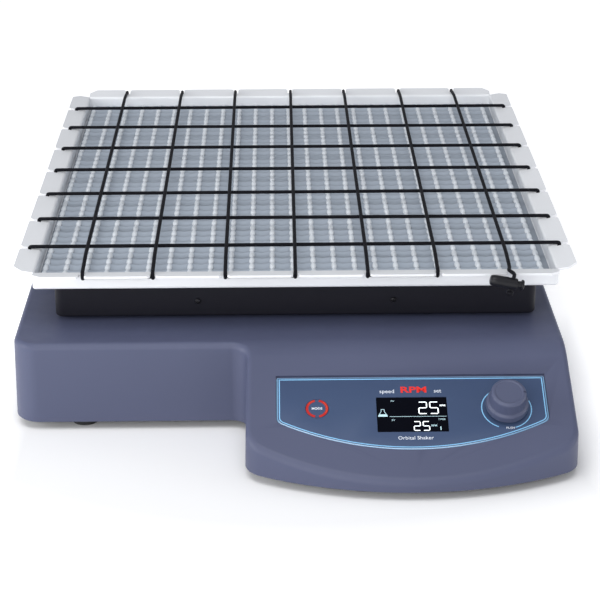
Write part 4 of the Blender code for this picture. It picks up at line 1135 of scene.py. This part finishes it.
bm = bmesh.new()
flat_plate(bm, INLET, 17.0, 13.0, REAR + 1.6, REAR + 3.2, 2.0)
socket = [(-11.5, -7.8), (11.5, -7.8), (11.5, 4.0), (7.5, 7.8), (-7.5, 7.8), (-11.5, 4.0)]
INTO_WALL = Matrix.Translation((INLET[0], REAR, INLET[1])) @ about_x(90) @ Matrix.Scale(-1.0, 4, (0, 0, 1))
piece(
    "inlet_bezel", bm, black_plastic, "base", ["power_inlet"], sharp=30.0,
    joins=[tool(lambda m: behind(m, INLET, 13.7, 10.2, -20, 2.0))],
    cuts=[tool(lambda m: prism(m, rounded([(x, z, 1.2) for x, z in socket], 5), -15.0, 8.0), INTO_WALL)],
)
for k, (px, pz) in enumerate(((-7.0, -1.2), (0.0, 2.8), (7.0, -1.2)), 1):
    bm = bmesh.new()
    behind(bm, (INLET[0] + px, INLET[1] + pz), 0.95, 1.75, -15.2, -1.2)
    piece(f"inlet_pin_{k}", bm, brass_pins, "base", (), bevel=0.35, sharp=30.0)

bm = bmesh.new()
flat_plate(bm, ROCKER, 12.5, 9.5, REAR + 1.6, REAR + 3.2, 1.6)
piece(
    "rocker_bezel", bm, black_plastic, "base", ["rocker_frame"], sharp=30.0,
    joins=[tool(lambda m: behind(m, ROCKER, 9.8, 6.8, -14, 2.0))],
    cuts=[tool(lambda m: behind(m, ROCKER, 8.8, 5.6, -10, 6.0))],
)
bm = bmesh.new()
section = [(-8.2, -0.6), (-2.0, -5.0), (2.0, -5.0), (8.2, -0.6), (8.0, 2.9), (0.0, 1.6), (-8.0, 0.5)]
prism(bm, section, -5.2, 5.2)
AT_ROCKER = Matrix.Translation((ROCKER[0], REAR, ROCKER[1]))
piece("rocker_cap", bm, rocker_red, "power_switch", ["power_rocker"], AT_ROCKER, bevel=0.4,
      sharp=30.0)

# ---- the CAD nodes that stay
INNER = {}
for made, names in (
    (black_paint, "base_plate"),
    (plate_steel, "chassis_plate motor_bracket encoder_body power_supply counterweight carrier_plate"),
    (cast_alloy, "main_bearing_housing large_pulley hub_bearing_block motor_pulley"),
    (bright_steel, "main_shaft motor_shaft encoder_plunger"),
    (black_plastic, "display_module mode_switch_body"),
    (motor_paint, "motor_body"), (belt_rubber, "drive_belt"), (board_green, "control_board"),
):
    INNER.update(dict.fromkeys(names.split(), made))
for n in range(1, 5):
    INNER[f"idler_bearing_housing_{n}"] = cast_alloy
    INNER[f"idler_bearing_block_{n}"] = cast_alloy
    INNER[f"idler_crank_{n}"] = bright_steel
    INNER[f"tray_screw_{n}"] = bright_steel
for name, made in INNER.items():
    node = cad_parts[name]
    node.data.materials.clear()
    node.data.materials.append(made)
    node.data.shade_smooth()
    node.data.set_sharp_from_angle(angle=math.radians(32.0))

# ---- floor, light
bm = bmesh.new()
bmesh.ops.create_grid(bm, x_segments=8, y_segments=8, size=6.0)
mesh = bpy.data.meshes.new("floor")
bm.to_mesh(mesh)
bm.free()
floor = bpy.data.objects.new("floor", mesh)
scene.collection.objects.link(floor)
paper = Shader("floor_paper", (0.90, 0.90, 0.905), 0.85)
paper.mottle_and_painted_shade(paper.noise(3.0, 3.0), 0.995, 1.0)
paper.relief(paper.noise(260.0, 3.0), 4e-5)
# painted light: the floor glows beyond the object and beside and behind it, so that it stays white up to the
# picture's edge and only the shadow in front of the object shows
reach = paper.node("ShaderNodeVectorMath", operation="LENGTH")
paper.link(paper.place, reach.inputs[0])
beside = paper.node("ShaderNodeMath", operation="ABSOLUTE")
paper.link(paper.axis("X"), beside.inputs[0])
near = paper.node("ShaderNodeMath", operation="MAXIMUM")
paper.link(paper.spread(reach.outputs["Value"], 0.0, 0.5, 0.33, 0.48), near.inputs[0])
paper.link(paper.spread(beside.outputs["Value"], 0.0, 0.5, 0.20, 0.235), near.inputs[1])
glow = paper.node("ShaderNodeMath", operation="MAXIMUM")
paper.link(near.outputs["Value"], glow.inputs[0])
paper.link(paper.spread(paper.axis("Y"), 0.0, 0.5, -0.14, 0.02), glow.inputs[1])
paper.set("Emission Color", (1.0, 1.0, 1.0, 1.0))
paper.link(glow.outputs["Value"], paper.shader.inputs["Emission Strength"])
mesh.materials.append(paper.material)

world = bpy.data.worlds.new("studio")
scene.world = world
world.use_nodes = True
background = world.node_tree.nodes["Background"]
background.inputs["Color"].default_value = (0.93, 0.95, 1.0, 1.0)
background.inputs["Strength"].default_value = 0.42
# a low view looks past the floor's edge: there the sky is plain white, and it lights nothing
rays = world.node_tree.nodes.new("ShaderNodeLightPath")
sky = world.node_tree.nodes.new("ShaderNodeBackground")
both = world.node_tree.nodes.new("ShaderNodeMixShader")
for source, target in (
    (rays.outputs["Is Camera Ray"], both.inputs[0]),
    (background.outputs[0], both.inputs[1]),
    (sky.outputs[0], both.inputs[2]),
    (both.outputs[0], world.node_tree.nodes["World Output"].inputs[0]),
):
    world.node_tree.links.new(source, target)
sky.inputs["Color"].default_value = (1.0, 1.0, 1.0, 1.0)


def softbox(name, at, to, size, power):
    data = bpy.data.lights.new(name, "AREA")
    data.shape = "RECTANGLE"
    data.size, data.size_y = size
    data.energy = power
    made = bpy.data.objects.new(name, data)
    made.location = at
    made.rotation_euler = (Vector(to) - Vector(at)).to_track_quat("-Z", "Y").to_euler()
    scene.collection.objects.link(made)


softbox("top_light", (-0.2, -0.8, 1.8), (0.0, -0.1, 0.0), (1.5, 1.0), 15.5)
softbox("left_light", (-1.7, -0.6, 0.55), (0.0, -0.1, 0.05), (1.2, 0.8), 17.0)
softbox("right_light", (1.7, -0.5, 0.55), (0.0, -0.1, 0.05), (1.0, 0.8), 4.5)
softbox("front_light", (-0.6, -2.1, 0.8), (0.0, -0.1, 0.08), (1.6, 0.7), 18.0)

scene.view_settings.view_transform = "Standard"
scene.view_settings.look = "None"
scene.view_settings.exposure = 0.0
